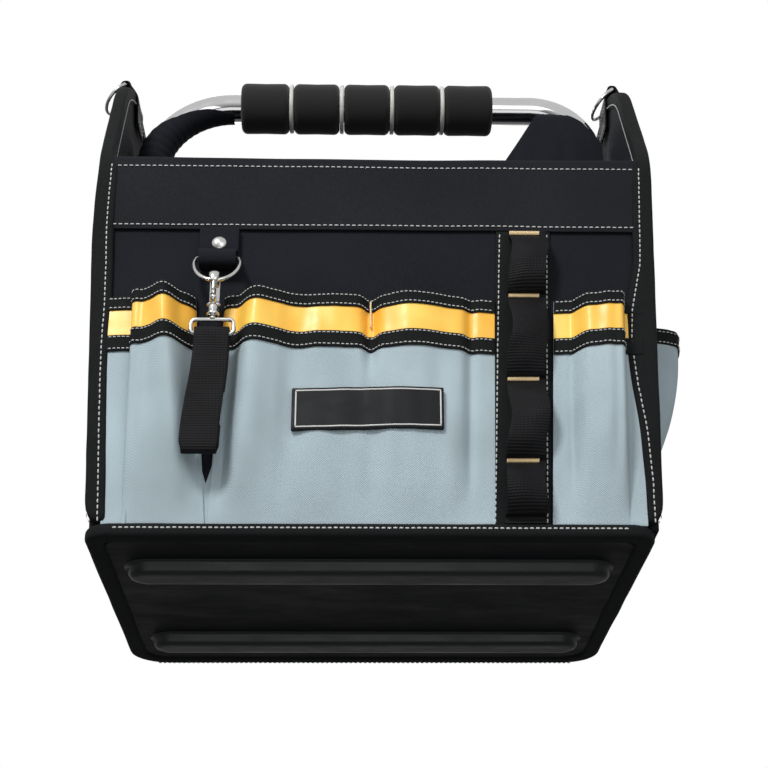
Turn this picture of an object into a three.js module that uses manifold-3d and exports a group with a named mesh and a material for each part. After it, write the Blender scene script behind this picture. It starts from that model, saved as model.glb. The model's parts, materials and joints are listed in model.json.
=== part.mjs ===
// Open-topped tool bag: a stiff box of bound fabric panels with raised side walls, a bolted tube
// handle, outside pockets, a ladder of tool loops and a hanging snap hook.
// Millimetres. +Z is up, the front faces -Y, and Z = 0 is the surface that the foot rails stand on.

import * as THREE from "three";
import { mergeVertices } from "three/addons/utils/BufferGeometryUtils.js";
import Module from "manifold-3d";

const wasm = await Module();
wasm.setup();

// Driving dimensions of the body
const GAP = 0.3;
const BASE_HALF_WIDTH = 172;
const BASE_SEAM_Z = 12;
const FLARE = 0.0575;
const HALF_DEPTH = 128;
const PANEL = 5;
const RIM_Z = 285;
const PEAK_Z = 433;
const SHOULDER = { y: 66, z: 388 };
const BINDING = 8;
const BINDING_PROUD = 3;
const SIDE_PANEL_SET_BACK = 1.5;
// The right wall hangs this much further out than the left one
const RIGHT_SLACK = 5;

// Base
const RAIL = { length: 306, width: 27, height: 8, y: 74 };
const COVER = { halfX: 162, halfY: 120, radius: 10, thickness: 4 };
const WELT = { halfX: 174, halfY: 133, radius: 16 };
const WALL_Z = 16;

// Top band, sewn over the rim of the front and back panels
const BAND = { bottom: 226, insideBottom: 240, thickness: 2.3 };

// Pockets
const SKIN = 2;
const TAPE = 1;
const POCKET_RIM = 172;
const POCKET_BOTTOM = 16;
const TAPE_TOP = 162;
const TAPE_BOTTOM = 143.7;
const LOWER_BINDING_BOTTOM = 132;
const PUFF_HEIGHT = 94;
const SIDE_POCKET_BOTTOM = 62;

// Columns of a pocket, from one side seam to the other: place at the rim, place at the bottom
// seam, and how far the cloth stands out from the panel.
const LEFT_POCKET = [
  [-168, -161, 0], [-152.5, -150, 1.5], [-150.5, -148.5, 11], [-142, -141, 17],
  [-130, -130, 18], [-121, -117, 13], [-115.5, -105, 5], [-113, -101, 0],
];
const CENTRE_POCKET = [
  [-94.4, -99, 0], [-91, -95, 4], [-86.5, -89, 8], [-75, -78, 15], [-60, -63, 12],
  [-48.5, -50, 9], [-25, -25, 10], [0, 0, 8.5], [30, 29, 12], [47, 45, 11],
  [66, 62, 4], [78.2, 72.5, 0],
];
const RIGHT_POCKET = [
  [121.5, 112, 0], [128, 119, 3], [140, 132, 14], [155, 148, 17],
  [166, 158, 16], [170, 161, 11], [172, 163, 0],
];
const BACK_POCKET = [
  [-150, -144, 0], [-138, -134, 15], [-105, -104, 20], [-60, -60, 18], [-12, -12, 6],
  [12, 12, 6], [60, 60, 18], [105, 104, 20], [138, 134, 15], [150, 144, 0],
];
const RIGHT_SIDE_POCKET = [
  [-95, -88, 0], [-91, -84, 17], [-85, -79, 23], [-58, -55, 25.5], [0, 0, 26],
  [58, 55, 25.5], [85, 79, 23], [91, 84, 17], [95, 88, 0],
];
const LEFT_SIDE_POCKET = [
  [-90, -84, 0], [-78, -73, 4], [-50, -48, 9.5], [0, 0, 17],
  [40, 38, 20], [70, 66, 16], [84, 79, 8], [90, 84, 0],
];

// Tool loops: one webbing sewn down at each bar, standing out between them
const LADDER = { x: 91, z: 18, lean: 0.054, halfWidth: 18, thickness: 1.5 };
const LOOP = { halfWidth: 12.5, offset: 2.5, thickness: 1.5, stand: 13 };
const LOOP_BARS = [19, 57.3, 114.3, 175.4, 223.4];

// Label patch on the centre pocket
const PATCH = { columns: [-48.5, -25, 0, 30, 47], bottom: 78.5, top: 106.7, thickness: 1.6 };

// Hanging snap hook
const HOOK_X = -100;
const WIRE = 2.8;
const TAB = { halfWidth: 13, top: 225.7, barY: -136.5, barZ: 199, hole: 2.4 };
const D_RING = { halfWidth: 16.4, height: 27.6, tilt: 28.3 };
const RIVET = { z: 213.5, headRadius: 5.5, headHeight: 3, shankRadius: 1.8 };
const JAW = { halfWidth: 7, wall: 3.2, thickness: 6 };
const EYE = { halfWidth: 14.9, top: 147.2, bottom: 134.2 };
const STEM = { radius: 1.5, bore: 1.9, barrelRadius: 4 };
const STRAP = { halfWidth: 11.8, thickness: 1.8, hole: 2.6, bottom: 53.7 };

// Handle
const TUBE = { radius: 11, wall: 1.5, footZ: 240, top: 424 };
// Handle length of a cubic curve that stands in for a quarter circle of radius 1
const QUARTER_BOW = 0.5523;
const LEFT_LEG = { foot: -167, top: -168, bend: 62 };
const RIGHT_LEG = { foot: 172, top: 176, bend: 46 };
const GRIP = { pitch: 40, radius: 20, coreRadius: 13, collar: 3, collarRadius: 19.4, round: 4 };
const BOLT = { heights: [256, 288], headRadius: 6.5, headHeight: 3.4, shankRadius: 3, tail: 3.5 };
const SLEEVE = { bottom: 306, top: 356, thickness: 2 };
const FLAP = { y: -13.8, thickness: 2 };

// Rings for a shoulder strap, on a tab over the peak of each side wall
const EAR_TAB = { halfWidth: 12.5, thickness: 2, bottom: 400, loopZ: 437, loopRadius: 3.9, hole: 2.3 };
const EAR_RING = { halfWidth: 16.5, height: 22, angle: 46 };

const LOOKS = {
  blackFabric: { color: 0x232428, roughness: 0.85, metalness: 0 },
  charcoalFabric: { color: 0x2b2c30, roughness: 0.8, metalness: 0 },
  greyFabric: { color: 0xa3b2b8, roughness: 0.8, metalness: 0 },
  orangeTape: { color: 0xf9c04a, roughness: 0.5, metalness: 0 },
  webbing: { color: 0x1c1c1f, roughness: 0.75, metalness: 0 },
  rubber: { color: 0x18191b, roughness: 0.6, metalness: 0 },
  foam: { color: 0x2d2e2e, roughness: 0.9, metalness: 0 },
  greyPlastic: { color: 0xb4b4b0, roughness: 0.5, metalness: 0 },
  board: { color: 0x1f2022, roughness: 0.7, metalness: 0 },
  chrome: { color: 0xd8d8d8, roughness: 0.1, metalness: 1 },
  nickel: { color: 0xc8c8c6, roughness: 0.2, metalness: 1 },
};

const group = new THREE.Group();

function add(name, geometry, look) {
  const mesh = new THREE.Mesh(geometry, new THREE.MeshStandardMaterial(LOOKS[look]));
  mesh.name = name;
  group.add(mesh);
}

// Half width of the bag, to the outside of the side binding, at height z
function halfWidthAt(z) {
  return BASE_HALF_WIDTH + FLARE * (z - BASE_SEAM_Z);
}

// Geometry tools

// Extrudes an outline along an axis. The outline is (y, z) for x, (x, z) for y and (x, y) for z.
function prism(points, axis, from, to, hole = null) {
  const turn = (list) => {
    const flat = list.map(([a, b]) => (axis === "y" ? new THREE.Vector2(b, a) : new THREE.Vector2(a, b)));
    return THREE.ShapeUtils.isClockWise(flat) ? flat.reverse() : flat;
  };
  const shape = new THREE.Shape(turn(points));
  if (hole) {
    shape.holes.push(new THREE.Path(turn(hole)));
  }
  const geometry = new THREE.ExtrudeGeometry(shape, { depth: to - from, bevelEnabled: false });
  geometry.translate(0, 0, from);
  const bases = {
    x: [new THREE.Vector3(0, 1, 0), new THREE.Vector3(0, 0, 1), new THREE.Vector3(1, 0, 0)],
    y: [new THREE.Vector3(0, 0, 1), new THREE.Vector3(1, 0, 0), new THREE.Vector3(0, 1, 0)],
    z: [new THREE.Vector3(1, 0, 0), new THREE.Vector3(0, 1, 0), new THREE.Vector3(0, 0, 1)],
  };
  return geometry.applyMatrix4(new THREE.Matrix4().makeBasis(...bases[axis]));
}

function arc(x, y, rx, ry, start, end, steps) {
  const points = [];
  for (let i = 0; i <= steps; i += 1) {
    const angle = THREE.MathUtils.degToRad(start + ((end - start) * i) / steps);
    points.push([x + rx * Math.cos(angle), y + ry * Math.sin(angle)]);
  }
  return points;
}

function roundedRectangle(halfX, halfY, radius, steps = 5) {
  const x = halfX - radius;
  const y = halfY - radius;
  return [
    ...arc(x, y, radius, radius, 0, 90, steps),
    ...arc(-x, y, radius, radius, 90, 180, steps),
    ...arc(-x, -y, radius, radius, 180, 270, steps),
    ...arc(x, -y, radius, radius, 270, 360, steps),
  ];
}

// Moves an open run of points sideways by a distance, to its right-hand side
function offset(points, distance) {
  const normals = points.slice(1).map(([x, y], i) => {
    const dx = x - points[i][0];
    const dy = y - points[i][1];
    const length = Math.hypot(dx, dy);
    return [dy / length, -dx / length];
  });
  return points.map(([x, y], i) => {
    const a = normals[Math.max(i - 1, 0)];
    const b = normals[Math.min(i, normals.length - 1)];
    const scale = distance / (1 + a[0] * b[0] + a[1] * b[1]);
    return [x + (a[0] + b[0]) * scale, y + (a[1] + b[1]) * scale];
  });
}

function moveVertices(geometry, move) {
  const position = geometry.attributes.position;
  for (let i = 0; i < position.count; i += 1) {
    const point = move(position.getX(i), position.getY(i), position.getZ(i));
    position.setXYZ(i, ...point);
  }
  return geometry;
}

// Merges shared corners and turns the faces outwards
function closed(geometry) {
  geometry.deleteAttribute("normal");
  geometry.deleteAttribute("uv");
  const merged = mergeVertices(geometry, 1e-4);
  const position = merged.attributes.position;
  const index = merged.index.array;
  const [a, b, c] = [new THREE.Vector3(), new THREE.Vector3(), new THREE.Vector3()];
  let volume = 0;
  for (let i = 0; i < index.length; i += 3) {
    a.fromBufferAttribute(position, index[i]);
    b.fromBufferAttribute(position, index[i + 1]);
    c.fromBufferAttribute(position, index[i + 2]);
    volume += a.dot(b.cross(c));
  }
  if (volume < 0) {
    index.reverse();
  }
  return merged;
}

function mirrored(geometry) {
  return closed(geometry.clone().scale(-1, 1, 1));
}

function onRightWall(geometry) {
  return closed(geometry.clone().translate(RIGHT_SLACK, 0, 0));
}

function toSolid(geometry) {
  const merged = closed(geometry.clone());
  const vertProperties = new Float32Array(merged.attributes.position.array);
  const triVerts = new Uint32Array(merged.index.array);
  return new wasm.Manifold(new wasm.Mesh({ numProp: 3, vertProperties, triVerts }));
}

function toGeometry(solid) {
  const mesh = solid.getMesh();
  const geometry = new THREE.BufferGeometry();
  geometry.setAttribute("position", new THREE.BufferAttribute(new Float32Array(mesh.vertProperties), 3));
  geometry.setIndex(new THREE.BufferAttribute(new Uint32Array(mesh.triVerts), 1));
  return geometry;
}

function joined(...geometries) {
  return toGeometry(geometries.map(toSolid).reduce((whole, piece) => whole.add(piece)));
}

function cut(geometry, ...tools) {
  return toGeometry(tools.map(toSolid).reduce((left, tool) => left.subtract(tool), toSolid(geometry)));
}

function rod(axis, radius, from, to, centre, segments = 16) {
  const geometry = new THREE.CylinderGeometry(radius, radius, to - from, segments);
  if (axis === "x") {
    geometry.rotateZ(-Math.PI / 2);
  }
  if (axis === "z") {
    geometry.rotateX(Math.PI / 2);
  }
  const middle = (from + to) / 2;
  const place = { x: [middle, ...centre], y: [centre[0], middle, centre[1]], z: [...centre, middle] };
  return geometry.translate(...place[axis]);
}

// A body turned about the x axis: a closed profile of [along x, radius]
function turned(profile, segments) {
  const points = profile.map(([x, radius]) => new THREE.Vector2(radius, x));
  const geometry = new THREE.LatheGeometry([...points, points[0].clone()], segments);
  return closed(geometry.rotateZ(-Math.PI / 2));
}

// A bar across the bag whose two ends follow the lean of the side walls
function wallBar(profile, inset) {
  const geometry = prism(profile, "x", -1, 1);
  const reach = (x, z) => x * (halfWidthAt(z) - inset) + (x > 0 ? RIGHT_SLACK : 0);
  return closed(moveVertices(geometry, (x, y, z) => [reach(x, z), y, z]));
}

function rectangle(x0, x1, y0, y1) {
  return [[x0, y0], [x1, y0], [x1, y1], [x0, y1]];
}

// Base

function buildBase() {
  const railEnd = RAIL.length / 2 - RAIL.width / 2;
  const half = RAIL.width / 2;
  const railOutline = (y) => [
    ...arc(railEnd, y, half, half, -90, 90, 8),
    ...arc(-railEnd, y, half, half, 90, 270, 8),
  ];
  const coverTop = RAIL.height + COVER.thickness;
  const cover = roundedRectangle(COVER.halfX, COVER.halfY, COVER.radius);
  const weltInside = roundedRectangle(COVER.halfX + GAP, COVER.halfY + GAP, COVER.radius + GAP);
  const weltOutside = roundedRectangle(WELT.halfX, WELT.halfY, WELT.radius);
  add("foot_rail_front", prism(railOutline(-RAIL.y), "z", 0, RAIL.height - GAP), "rubber");
  add("foot_rail_rear", prism(railOutline(RAIL.y), "z", 0, RAIL.height - GAP), "rubber");
  add("base_cover", prism(cover, "z", RAIL.height, coverTop), "rubber");
  add("base_welt", prism(weltOutside, "z", RAIL.height - GAP, WALL_Z - GAP, weltInside), "blackFabric");
  add("base_board", prism(cover, "z", coverTop + GAP, WALL_Z - GAP), "board");
}

// Walls

// The side wall's edge in (y, z), from the front seam over the peak to the back seam
function sideOutline() {
  const edge = HALF_DEPTH + BINDING_PROUD;
  const curve = new THREE.CubicBezierCurve(
    new THREE.Vector2(-SHOULDER.y, SHOULDER.z),
    new THREE.Vector2(-54, 407),
    new THREE.Vector2(-14, PEAK_Z - 2),
    new THREE.Vector2(0, PEAK_Z),
  );
  const front = [[-edge, WALL_Z], [-edge, RIM_Z], ...curve.getPoints(5).map((p) => [p.x, p.y])];
  const back = front.slice(0, -1).reverse().map(([y, z]) => [-y, z]);
  return [...front, ...back];
}

function leanOutwards(geometry) {
  return closed(moveVertices(geometry, (x, y, z) => [x + halfWidthAt(z), y, z]));
}

function boltHoles(radius) {
  return BOLT.heights.map((z) => rod("x", radius, 100, 220, [0, z], 12));
}

function buildSideWalls() {
  const outline = sideOutline();
  const inner = offset(outline, BINDING);
  const binding = leanOutwards(prism([...outline, ...inner.reverse()], "x", -BINDING, 0));
  const face = offset(outline, BINDING + GAP);
  const outside = -SIDE_PANEL_SET_BACK;
  const plate = leanOutwards(prism(face, "x", outside - PANEL, outside));
  const panel = cut(plate, ...boltHoles(BOLT.shankRadius + GAP));
  add("right_edge_binding", onRightWall(binding), "blackFabric");
  add("left_edge_binding", mirrored(binding), "blackFabric");
  add("right_side_panel", onRightWall(panel), "blackFabric");
  add("left_side_panel", mirrored(panel), "blackFabric");
}

function buildFrontAndBack() {
  const inset = BINDING + GAP;
  const band = BAND.thickness;
  const outer = HALF_DEPTH + GAP + band;
  const inner = HALF_DEPTH - PANEL - GAP - band;
  const panelTop = RIM_Z - 3;
  const panelProfile = rectangle(-HALF_DEPTH, -HALF_DEPTH + PANEL, WALL_Z, panelTop);
  const bandProfile = [
    [-outer, BAND.bottom], [-outer, RIM_Z], [-inner, RIM_Z], [-inner, BAND.insideBottom],
    [-inner - band, BAND.insideBottom], [-inner - band, panelTop + GAP],
    [-outer + band, panelTop + GAP], [-outer + band, BAND.bottom],
  ];
  const rivetHole = rod("y", RIVET.shankRadius + GAP, -140, -110, [HOOK_X, RIVET.z], 12);
  const panel = wallBar(panelProfile, inset);
  const topBand = wallBar(bandProfile, inset);
  add("front_panel", cut(panel, rivetHole), "blackFabric");
  add("back_panel", closed(panel.clone().scale(1, -1, 1)), "blackFabric");
  add("front_top_band", topBand, "charcoalFabric");
  add("back_top_band", closed(topBand.clone().scale(1, -1, 1)), "charcoalFabric");
}

// Pockets

// How fully a pocket stands out at height z: nothing at its bottom seam, all of it near the rim
function puff(z, bottom) {
  const share = Math.min(1, (z - bottom) / PUFF_HEIGHT);
  return Math.sin((share * Math.PI) / 2);
}

// A sheet that follows a pocket between two offsets from the panel face, over the given heights.
// place(across, outward, z) puts a point on its wall.
function pocketSheet(columns, heights, bottom, from, to, place) {
  const points = [];
  const layers = [to, from];
  for (const stand of layers) {
    for (const z of heights) {
      const share = (z - bottom) / (POCKET_RIM - bottom);
      for (const [atRim, atBottom, depth] of columns) {
        const across = atBottom + (atRim - atBottom) * share;
        points.push(...place(across, stand + depth * puff(z, bottom), z));
      }
    }
  }
  const wide = columns.length;
  const high = heights.length;
  const layer = wide * high;
  const index = [];
  const quad = (a, b, c, d) => index.push(a, b, c, a, c, d);
  for (let j = 0; j < high - 1; j += 1) {
    for (let i = 0; i < wide - 1; i += 1) {
      const a = j * wide + i;
      quad(a, a + 1, a + 1 + wide, a + wide);
      quad(layer + a, layer + a + wide, layer + a + 1 + wide, layer + a + 1);
    }
  }
  for (let i = 0; i < wide - 1; i += 1) {
    const top = (high - 1) * wide + i;
    quad(i + 1, i, layer + i, layer + i + 1);
    quad(top, top + 1, layer + top + 1, layer + top);
  }
  for (let j = 0; j < high - 1; j += 1) {
    const left = j * wide;
    const right = left + wide - 1;
    quad(left, left + wide, layer + left + wide, layer + left);
    quad(right + wide, right, layer + right, layer + right + wide);
  }
  const geometry = new THREE.BufferGeometry();
  geometry.setAttribute("position", new THREE.Float32BufferAttribute(points, 3));
  geometry.setIndex(index);
  return closed(geometry);
}

const onFront = (across, outward, z) => [across, -HALF_DEPTH - GAP - outward, z];
const onBack = (across, outward, z) => [-across, HALF_DEPTH + GAP + outward, z];
const onSide = (across, outward, z) => [halfWidthAt(z) - SIDE_PANEL_SET_BACK + GAP + outward, across, z];

const POCKET_HEIGHTS = [16, 30, 50, 80, 110, LOWER_BINDING_BOTTOM, TAPE_BOTTOM, TAPE_TOP, POCKET_RIM];

function addTapedPocket(name, columns, place) {
  const sheet = (heights, from, to) => pocketSheet(columns, heights, POCKET_BOTTOM, from, to, place);
  const inside = SKIN + GAP;
  const outside = inside + TAPE;
  add(name, sheet(POCKET_HEIGHTS, 0, SKIN), "greyFabric");
  add(`${name}_lower_binding`, sheet([LOWER_BINDING_BOTTOM, TAPE_BOTTOM - GAP], inside, outside), "webbing");
  add(`${name}_hivis_tape`, sheet([TAPE_BOTTOM, TAPE_TOP], inside, outside), "orangeTape");
  add(`${name}_rim_binding`, sheet([TAPE_TOP + GAP, POCKET_RIM], inside, outside), "webbing");
}

function buildPockets() {
  addTapedPocket("front_pocket_left", LEFT_POCKET, onFront);
  addTapedPocket("front_pocket_centre", CENTRE_POCKET, onFront);
  addTapedPocket("front_pocket_right", RIGHT_POCKET, onFront);
  addTapedPocket("back_pocket", BACK_POCKET, onBack);
}

function buildSidePockets() {
  const skinHeights = [SIDE_POCKET_BOTTOM, 75, 90, 110, 130, 150, TAPE_TOP, POCKET_RIM];
  const bindingHeights = [TAPE_TOP, POCKET_RIM];
  const inside = SKIN + GAP;
  const sheet = (columns, heights, from, to) =>
    pocketSheet(columns, heights, SIDE_POCKET_BOTTOM, from, to, onSide);
  const rightSkin = sheet(RIGHT_SIDE_POCKET, skinHeights, 0, SKIN);
  const rightBinding = sheet(RIGHT_SIDE_POCKET, bindingHeights, inside, inside + TAPE);
  const leftSkin = sheet(LEFT_SIDE_POCKET, skinHeights, 0, SKIN);
  const leftBinding = sheet(LEFT_SIDE_POCKET, bindingHeights, inside, inside + TAPE);
  add("right_side_pocket", onRightWall(rightSkin), "greyFabric");
  add("left_side_pocket", mirrored(leftSkin), "greyFabric");
  add("right_side_pocket_binding", onRightWall(rightBinding), "webbing");
  add("left_side_pocket_binding", mirrored(leftBinding), "webbing");
}

// Tool loops and label

function leanWithLadder(geometry) {
  return closed(moveVertices(geometry, (x, y, z) => [x + LADDER.x + LADDER.lean * (z - LADDER.z), y, z]));
}

// The webbing's back face in (y, z), from its lowest bar to its highest
function loopRun() {
  const flat = -HALF_DEPTH - GAP - LADDER.thickness - GAP;
  const run = [[flat, LOOP_BARS[0] - 2]];
  for (let k = 0; k < LOOP_BARS.length - 1; k += 1) {
    const height = LOOP_BARS[k + 1] - LOOP_BARS[k];
    for (let i = 0; i < 8; i += 1) {
      const share = i / 8;
      run.push([flat - LOOP.stand * Math.sin(share * Math.PI) ** 2, LOOP_BARS[k] + height * share]);
    }
  }
  const top = LOOP_BARS[LOOP_BARS.length - 1];
  run.push([flat, top], [flat, BAND.bottom - GAP]);
  return run;
}

function buildToolLoops() {
  const face = -HALF_DEPTH - GAP;
  const strip = rectangle(-LADDER.halfWidth, LADDER.halfWidth, WALL_Z, BAND.bottom - GAP);
  const run = loopRun();
  const profile = [...run, ...offset(run, -LOOP.thickness).reverse()];
  const near = LOOP.offset - LOOP.halfWidth;
  const backing = prism(strip, "y", face - LADDER.thickness, face);
  const webbing = prism(profile, "x", near, near + 2 * LOOP.halfWidth);
  add("tool_loop_backing", leanWithLadder(backing), "webbing");
  add("tool_loop_webbing", leanWithLadder(webbing), "webbing");
}

function buildLabelPatch() {
  const columns = CENTRE_POCKET.filter(([atRim]) => PATCH.columns.includes(atRim));
  const from = SKIN + GAP;
  const heights = [PATCH.bottom, (PATCH.bottom + PATCH.top) / 2, PATCH.top];
  const sheet = pocketSheet(columns, heights, POCKET_BOTTOM, from, from + PATCH.thickness, onFront);
  add("label_patch", sheet, "rubber");
}

// Snap hook

// A ring of bent wire in its own x, z plane, hanging down from a straight bar at the origin
function bentRing(halfWidth, height) {
  const half = WIRE / 2;
  const outer = [
    ...arc(halfWidth - 3, half - 3, 3, 3, 90, 0, 2),
    ...arc(0, -6, halfWidth, height + half - 6, 0, -180, 14),
    ...arc(-halfWidth + 3, half - 3, 3, 3, 180, 90, 2),
  ];
  const inner = [
    [halfWidth - WIRE, -half],
    ...arc(0, -6, halfWidth - WIRE, height - half - 6, 0, -180, 12),
    [-halfWidth + WIRE, -half],
  ];
  return closed(prism(outer, "y", -half, half, inner));
}

function hookCentre() {
  const tilt = THREE.MathUtils.degToRad(D_RING.tilt);
  return [TAB.barY - D_RING.height * Math.sin(tilt), TAB.barZ - D_RING.height * Math.cos(tilt)];
}

function buildHookTab() {
  const face = -HALF_DEPTH - GAP;
  const outline = [
    [face, TAB.top], [face - 3, TAB.top], [face - 3, TAB.barZ + 7], [TAB.barY - 3, TAB.barZ + 4.5],
    [TAB.barY - 4.5, TAB.barZ], [TAB.barY - 3, TAB.barZ - 4], [TAB.barY, TAB.barZ - 5],
    [face, TAB.barZ - 4],
  ];
  const loop = arc(TAB.barY, TAB.barZ, TAB.hole, TAB.hole, 0, 330, 11);
  const tab = prism(outline, "x", HOOK_X - TAB.halfWidth, HOOK_X + TAB.halfWidth, loop);
  const hole = rod("y", RIVET.shankRadius + GAP, -140, -110, [HOOK_X, RIVET.z], 12);
  add("hook_tab", cut(tab, hole), "blackFabric");

  const head = face - 3 - GAP;
  const profile = [
    [0, 0], [RIVET.headRadius, 0], [RIVET.headRadius - 0.8, 1.4],
    [RIVET.headRadius - 2.6, 2.5], [0, RIVET.headHeight],
  ];
  const dome = new THREE.LatheGeometry(profile.map(([r, y]) => new THREE.Vector2(r, y)), 20);
  dome.rotateX(Math.PI).translate(HOOK_X, head, RIVET.z);
  const shank = rod("y", RIVET.shankRadius, head - 1, -HALF_DEPTH + PANEL, [HOOK_X, RIVET.z], 12);
  add("hook_rivet", joined(dome, shank), "nickel");
}

function buildSnapHook() {
  const [y, z] = hookCentre();
  const tilt = THREE.MathUtils.degToRad(D_RING.tilt);
  const ring = bentRing(D_RING.halfWidth, D_RING.height);
  add("d_ring", closed(ring.rotateX(-tilt).translate(HOOK_X, TAB.barY, TAB.barZ)), "nickel");

  const half = JAW.halfWidth;
  const inside = half - JAW.wall;
  const crown = z + 1.2;
  const nose = z - 3.5;
  const seat = z - 14;
  const shoulder = EYE.top + 8.5;
  const jaw = [
    [y - half, nose], ...arc(y, crown - 2, half, 6.8, 180, 0, 10), [y + half, seat],
    [y + STEM.barrelRadius, shoulder], [y - STEM.barrelRadius, shoulder], [y - half, seat - 1],
    [y - inside, seat], [y + inside, seat + 1.5], ...arc(y, crown - 2, inside, 3.4, 0, 180, 8),
    [y - inside, nose],
  ];
  const thick = JAW.thickness / 2;
  const body = prism(jaw, "x", HOOK_X - thick, HOOK_X + thick);
  const barrel = rod("z", STEM.barrelRadius, EYE.top + 1.2, shoulder + 0.8, [HOOK_X, y]);
  const bore = rod("z", STEM.bore, EYE.top, EYE.top + 6.8, [HOOK_X, y]);
  add("snap_hook", cut(joined(body, barrel), bore), "nickel");

  const foot = seat + GAP;
  const gate = [
    [y - half, foot], [y - inside - 1.2, foot], [y - inside, foot + 1.2],
    [y - inside, nose - GAP], [y - half, nose - GAP],
  ];
  add("hook_gate", prism(gate, "x", HOOK_X - thick + 1, HOOK_X + thick - 1), "nickel");

  const wire = WIRE / 2;
  const middle = (EYE.top + EYE.bottom) / 2;
  const reach = (EYE.top - EYE.bottom) / 2;
  const shift = (list) => list.map(([a, b]) => [a + HOOK_X, b + middle]);
  const loop = prism(
    shift(roundedRectangle(EYE.halfWidth, reach, 3.5, 4)), "y", y - wire, y + wire,
    shift(roundedRectangle(EYE.halfWidth - WIRE, reach - WIRE, 1.2, 3)),
  );
  const stem = rod("z", STEM.radius, EYE.top - 1, EYE.top + 6, [HOOK_X, y], 12);
  add("swivel_eye", joined(loop, stem), "nickel");
}

function buildHangingStrap() {
  const [y] = hookCentre();
  const bar = EYE.bottom + WIRE / 2;
  const outer = STRAP.hole + STRAP.thickness;
  const profile = [
    ...arc(y, bar, outer, outer, 0, 180, 8),
    [y - outer + 0.6, bar - 12], [y - outer + 0.6, STRAP.bottom + 2], [y - outer + 2.2, STRAP.bottom],
    [y + outer - 2.2, STRAP.bottom], [y + outer - 0.6, STRAP.bottom + 2], [y + outer - 0.6, bar - 12],
  ];
  const bend = arc(y, bar, STRAP.hole, STRAP.hole, 0, 180, 8);
  const slot = [...bend, [y - 1.4, bar - 12], [y + 1.4, bar - 12]];
  const strap = prism(profile, "x", HOOK_X - STRAP.halfWidth, HOOK_X + STRAP.halfWidth, slot);
  add("hanging_strap", strap, "webbing");
}

// Handle

// The tube's centre line: each leg rises from its foot, and its bend is wider on the left
function handleCurve() {
  const path = new THREE.CurvePath();
  const point = (x, z) => new THREE.Vector3(x, 0, z);
  const parts = ({ foot, top, bend }, turn) => ({
    foot, leg: top, low: TUBE.top - bend, bow: QUARTER_BOW * bend, turn,
  });
  const left = parts(LEFT_LEG, LEFT_LEG.top + LEFT_LEG.bend);
  const right = parts(RIGHT_LEG, RIGHT_LEG.top - RIGHT_LEG.bend);
  path.add(new THREE.LineCurve3(point(left.foot, TUBE.footZ), point(left.leg, left.low)));
  path.add(new THREE.CubicBezierCurve3(
    point(left.leg, left.low), point(left.leg, left.low + left.bow),
    point(left.turn - left.bow, TUBE.top), point(left.turn, TUBE.top),
  ));
  path.add(new THREE.LineCurve3(point(left.turn, TUBE.top), point(right.turn, TUBE.top)));
  path.add(new THREE.CubicBezierCurve3(
    point(right.turn, TUBE.top), point(right.turn + right.bow, TUBE.top),
    point(right.leg, right.low + right.bow), point(right.leg, right.low),
  ));
  path.add(new THREE.LineCurve3(point(right.leg, right.low), point(right.foot, TUBE.footZ)));
  return path;
}

function buildHandle() {
  const circle = (radius) => arc(0, 0, radius, radius, 0, 337.5, 15).map(([x, y]) => new THREE.Vector2(x, y));
  const section = new THREE.Shape(circle(TUBE.radius));
  section.holes.push(new THREE.Path(circle(TUBE.radius - TUBE.wall)));
  const options = { steps: 34, bevelEnabled: false, extrudePath: handleCurve() };
  const tube = new THREE.ExtrudeGeometry(section, options);
  const holes = boltHoles(BOLT.shankRadius + GAP);
  const leftHoles = holes.map((hole) => hole.clone().scale(-1, 1, 1));
  add("handle_tube", cut(tube, ...holes, ...leftHoles), "chrome");
}

function buildGrip() {
  const bore = TUBE.radius + GAP;
  const end = 2.5 * GRIP.pitch;
  const half = GRIP.collar / 2;
  const core = [[-end, bore], [-end, GRIP.coreRadius]];
  for (const centre of [-1.5, -0.5, 0.5, 1.5].map((k) => k * GRIP.pitch)) {
    core.push([centre - half, GRIP.coreRadius], [centre - half, GRIP.collarRadius]);
    core.push([centre + half, GRIP.collarRadius], [centre + half, GRIP.coreRadius]);
  }
  core.push([end, GRIP.coreRadius], [end, bore]);
  add("grip_core", turned(core, 16).translate(0, 0, TUBE.top), "greyPlastic");

  const inner = GRIP.coreRadius + GAP;
  for (let k = 0; k < 5; k += 1) {
    const left = (k - 2.5) * GRIP.pitch + (k > 0 ? half + GAP : 0);
    const right = (k - 1.5) * GRIP.pitch - (k < 4 ? half + GAP : 0);
    const segment = [
      [left, inner], [left, GRIP.radius - GRIP.round],
      ...arc(left + GRIP.round, GRIP.radius - GRIP.round, GRIP.round, GRIP.round, 150, 90, 2),
      ...arc(right - GRIP.round, GRIP.radius - GRIP.round, GRIP.round, GRIP.round, 90, 30, 2),
      [right, GRIP.radius - GRIP.round], [right, inner],
    ];
    add(`grip_foam_${k + 1}`, turned(segment, 16).translate(0, 0, TUBE.top), "foam");
  }
}

function buildBolts() {
  const tail = -LEFT_LEG.foot - TUBE.radius - BOLT.tail;
  for (const [name, z] of [["lower", BOLT.heights[0]], ["upper", BOLT.heights[1]]]) {
    const face = halfWidthAt(z + BOLT.headRadius) - SIDE_PANEL_SET_BACK + GAP;
    const profile = [
      [tail, 0], [tail, BOLT.shankRadius], [face, BOLT.shankRadius], [face, BOLT.headRadius],
      [face + 1.6, BOLT.headRadius - 0.6], [face + 2.8, BOLT.headRadius - 2.6], [face + BOLT.headHeight, 0],
    ];
    const points = profile.map(([x, r]) => new THREE.Vector2(r, x));
    const bolt = closed(new THREE.LatheGeometry(points, 20).rotateZ(-Math.PI / 2).translate(0, 0, z));
    add(`handle_bolt_right_${name}`, onRightWall(bolt), "chrome");
    add(`handle_bolt_left_${name}`, mirrored(bolt), "chrome");
  }
}

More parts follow.
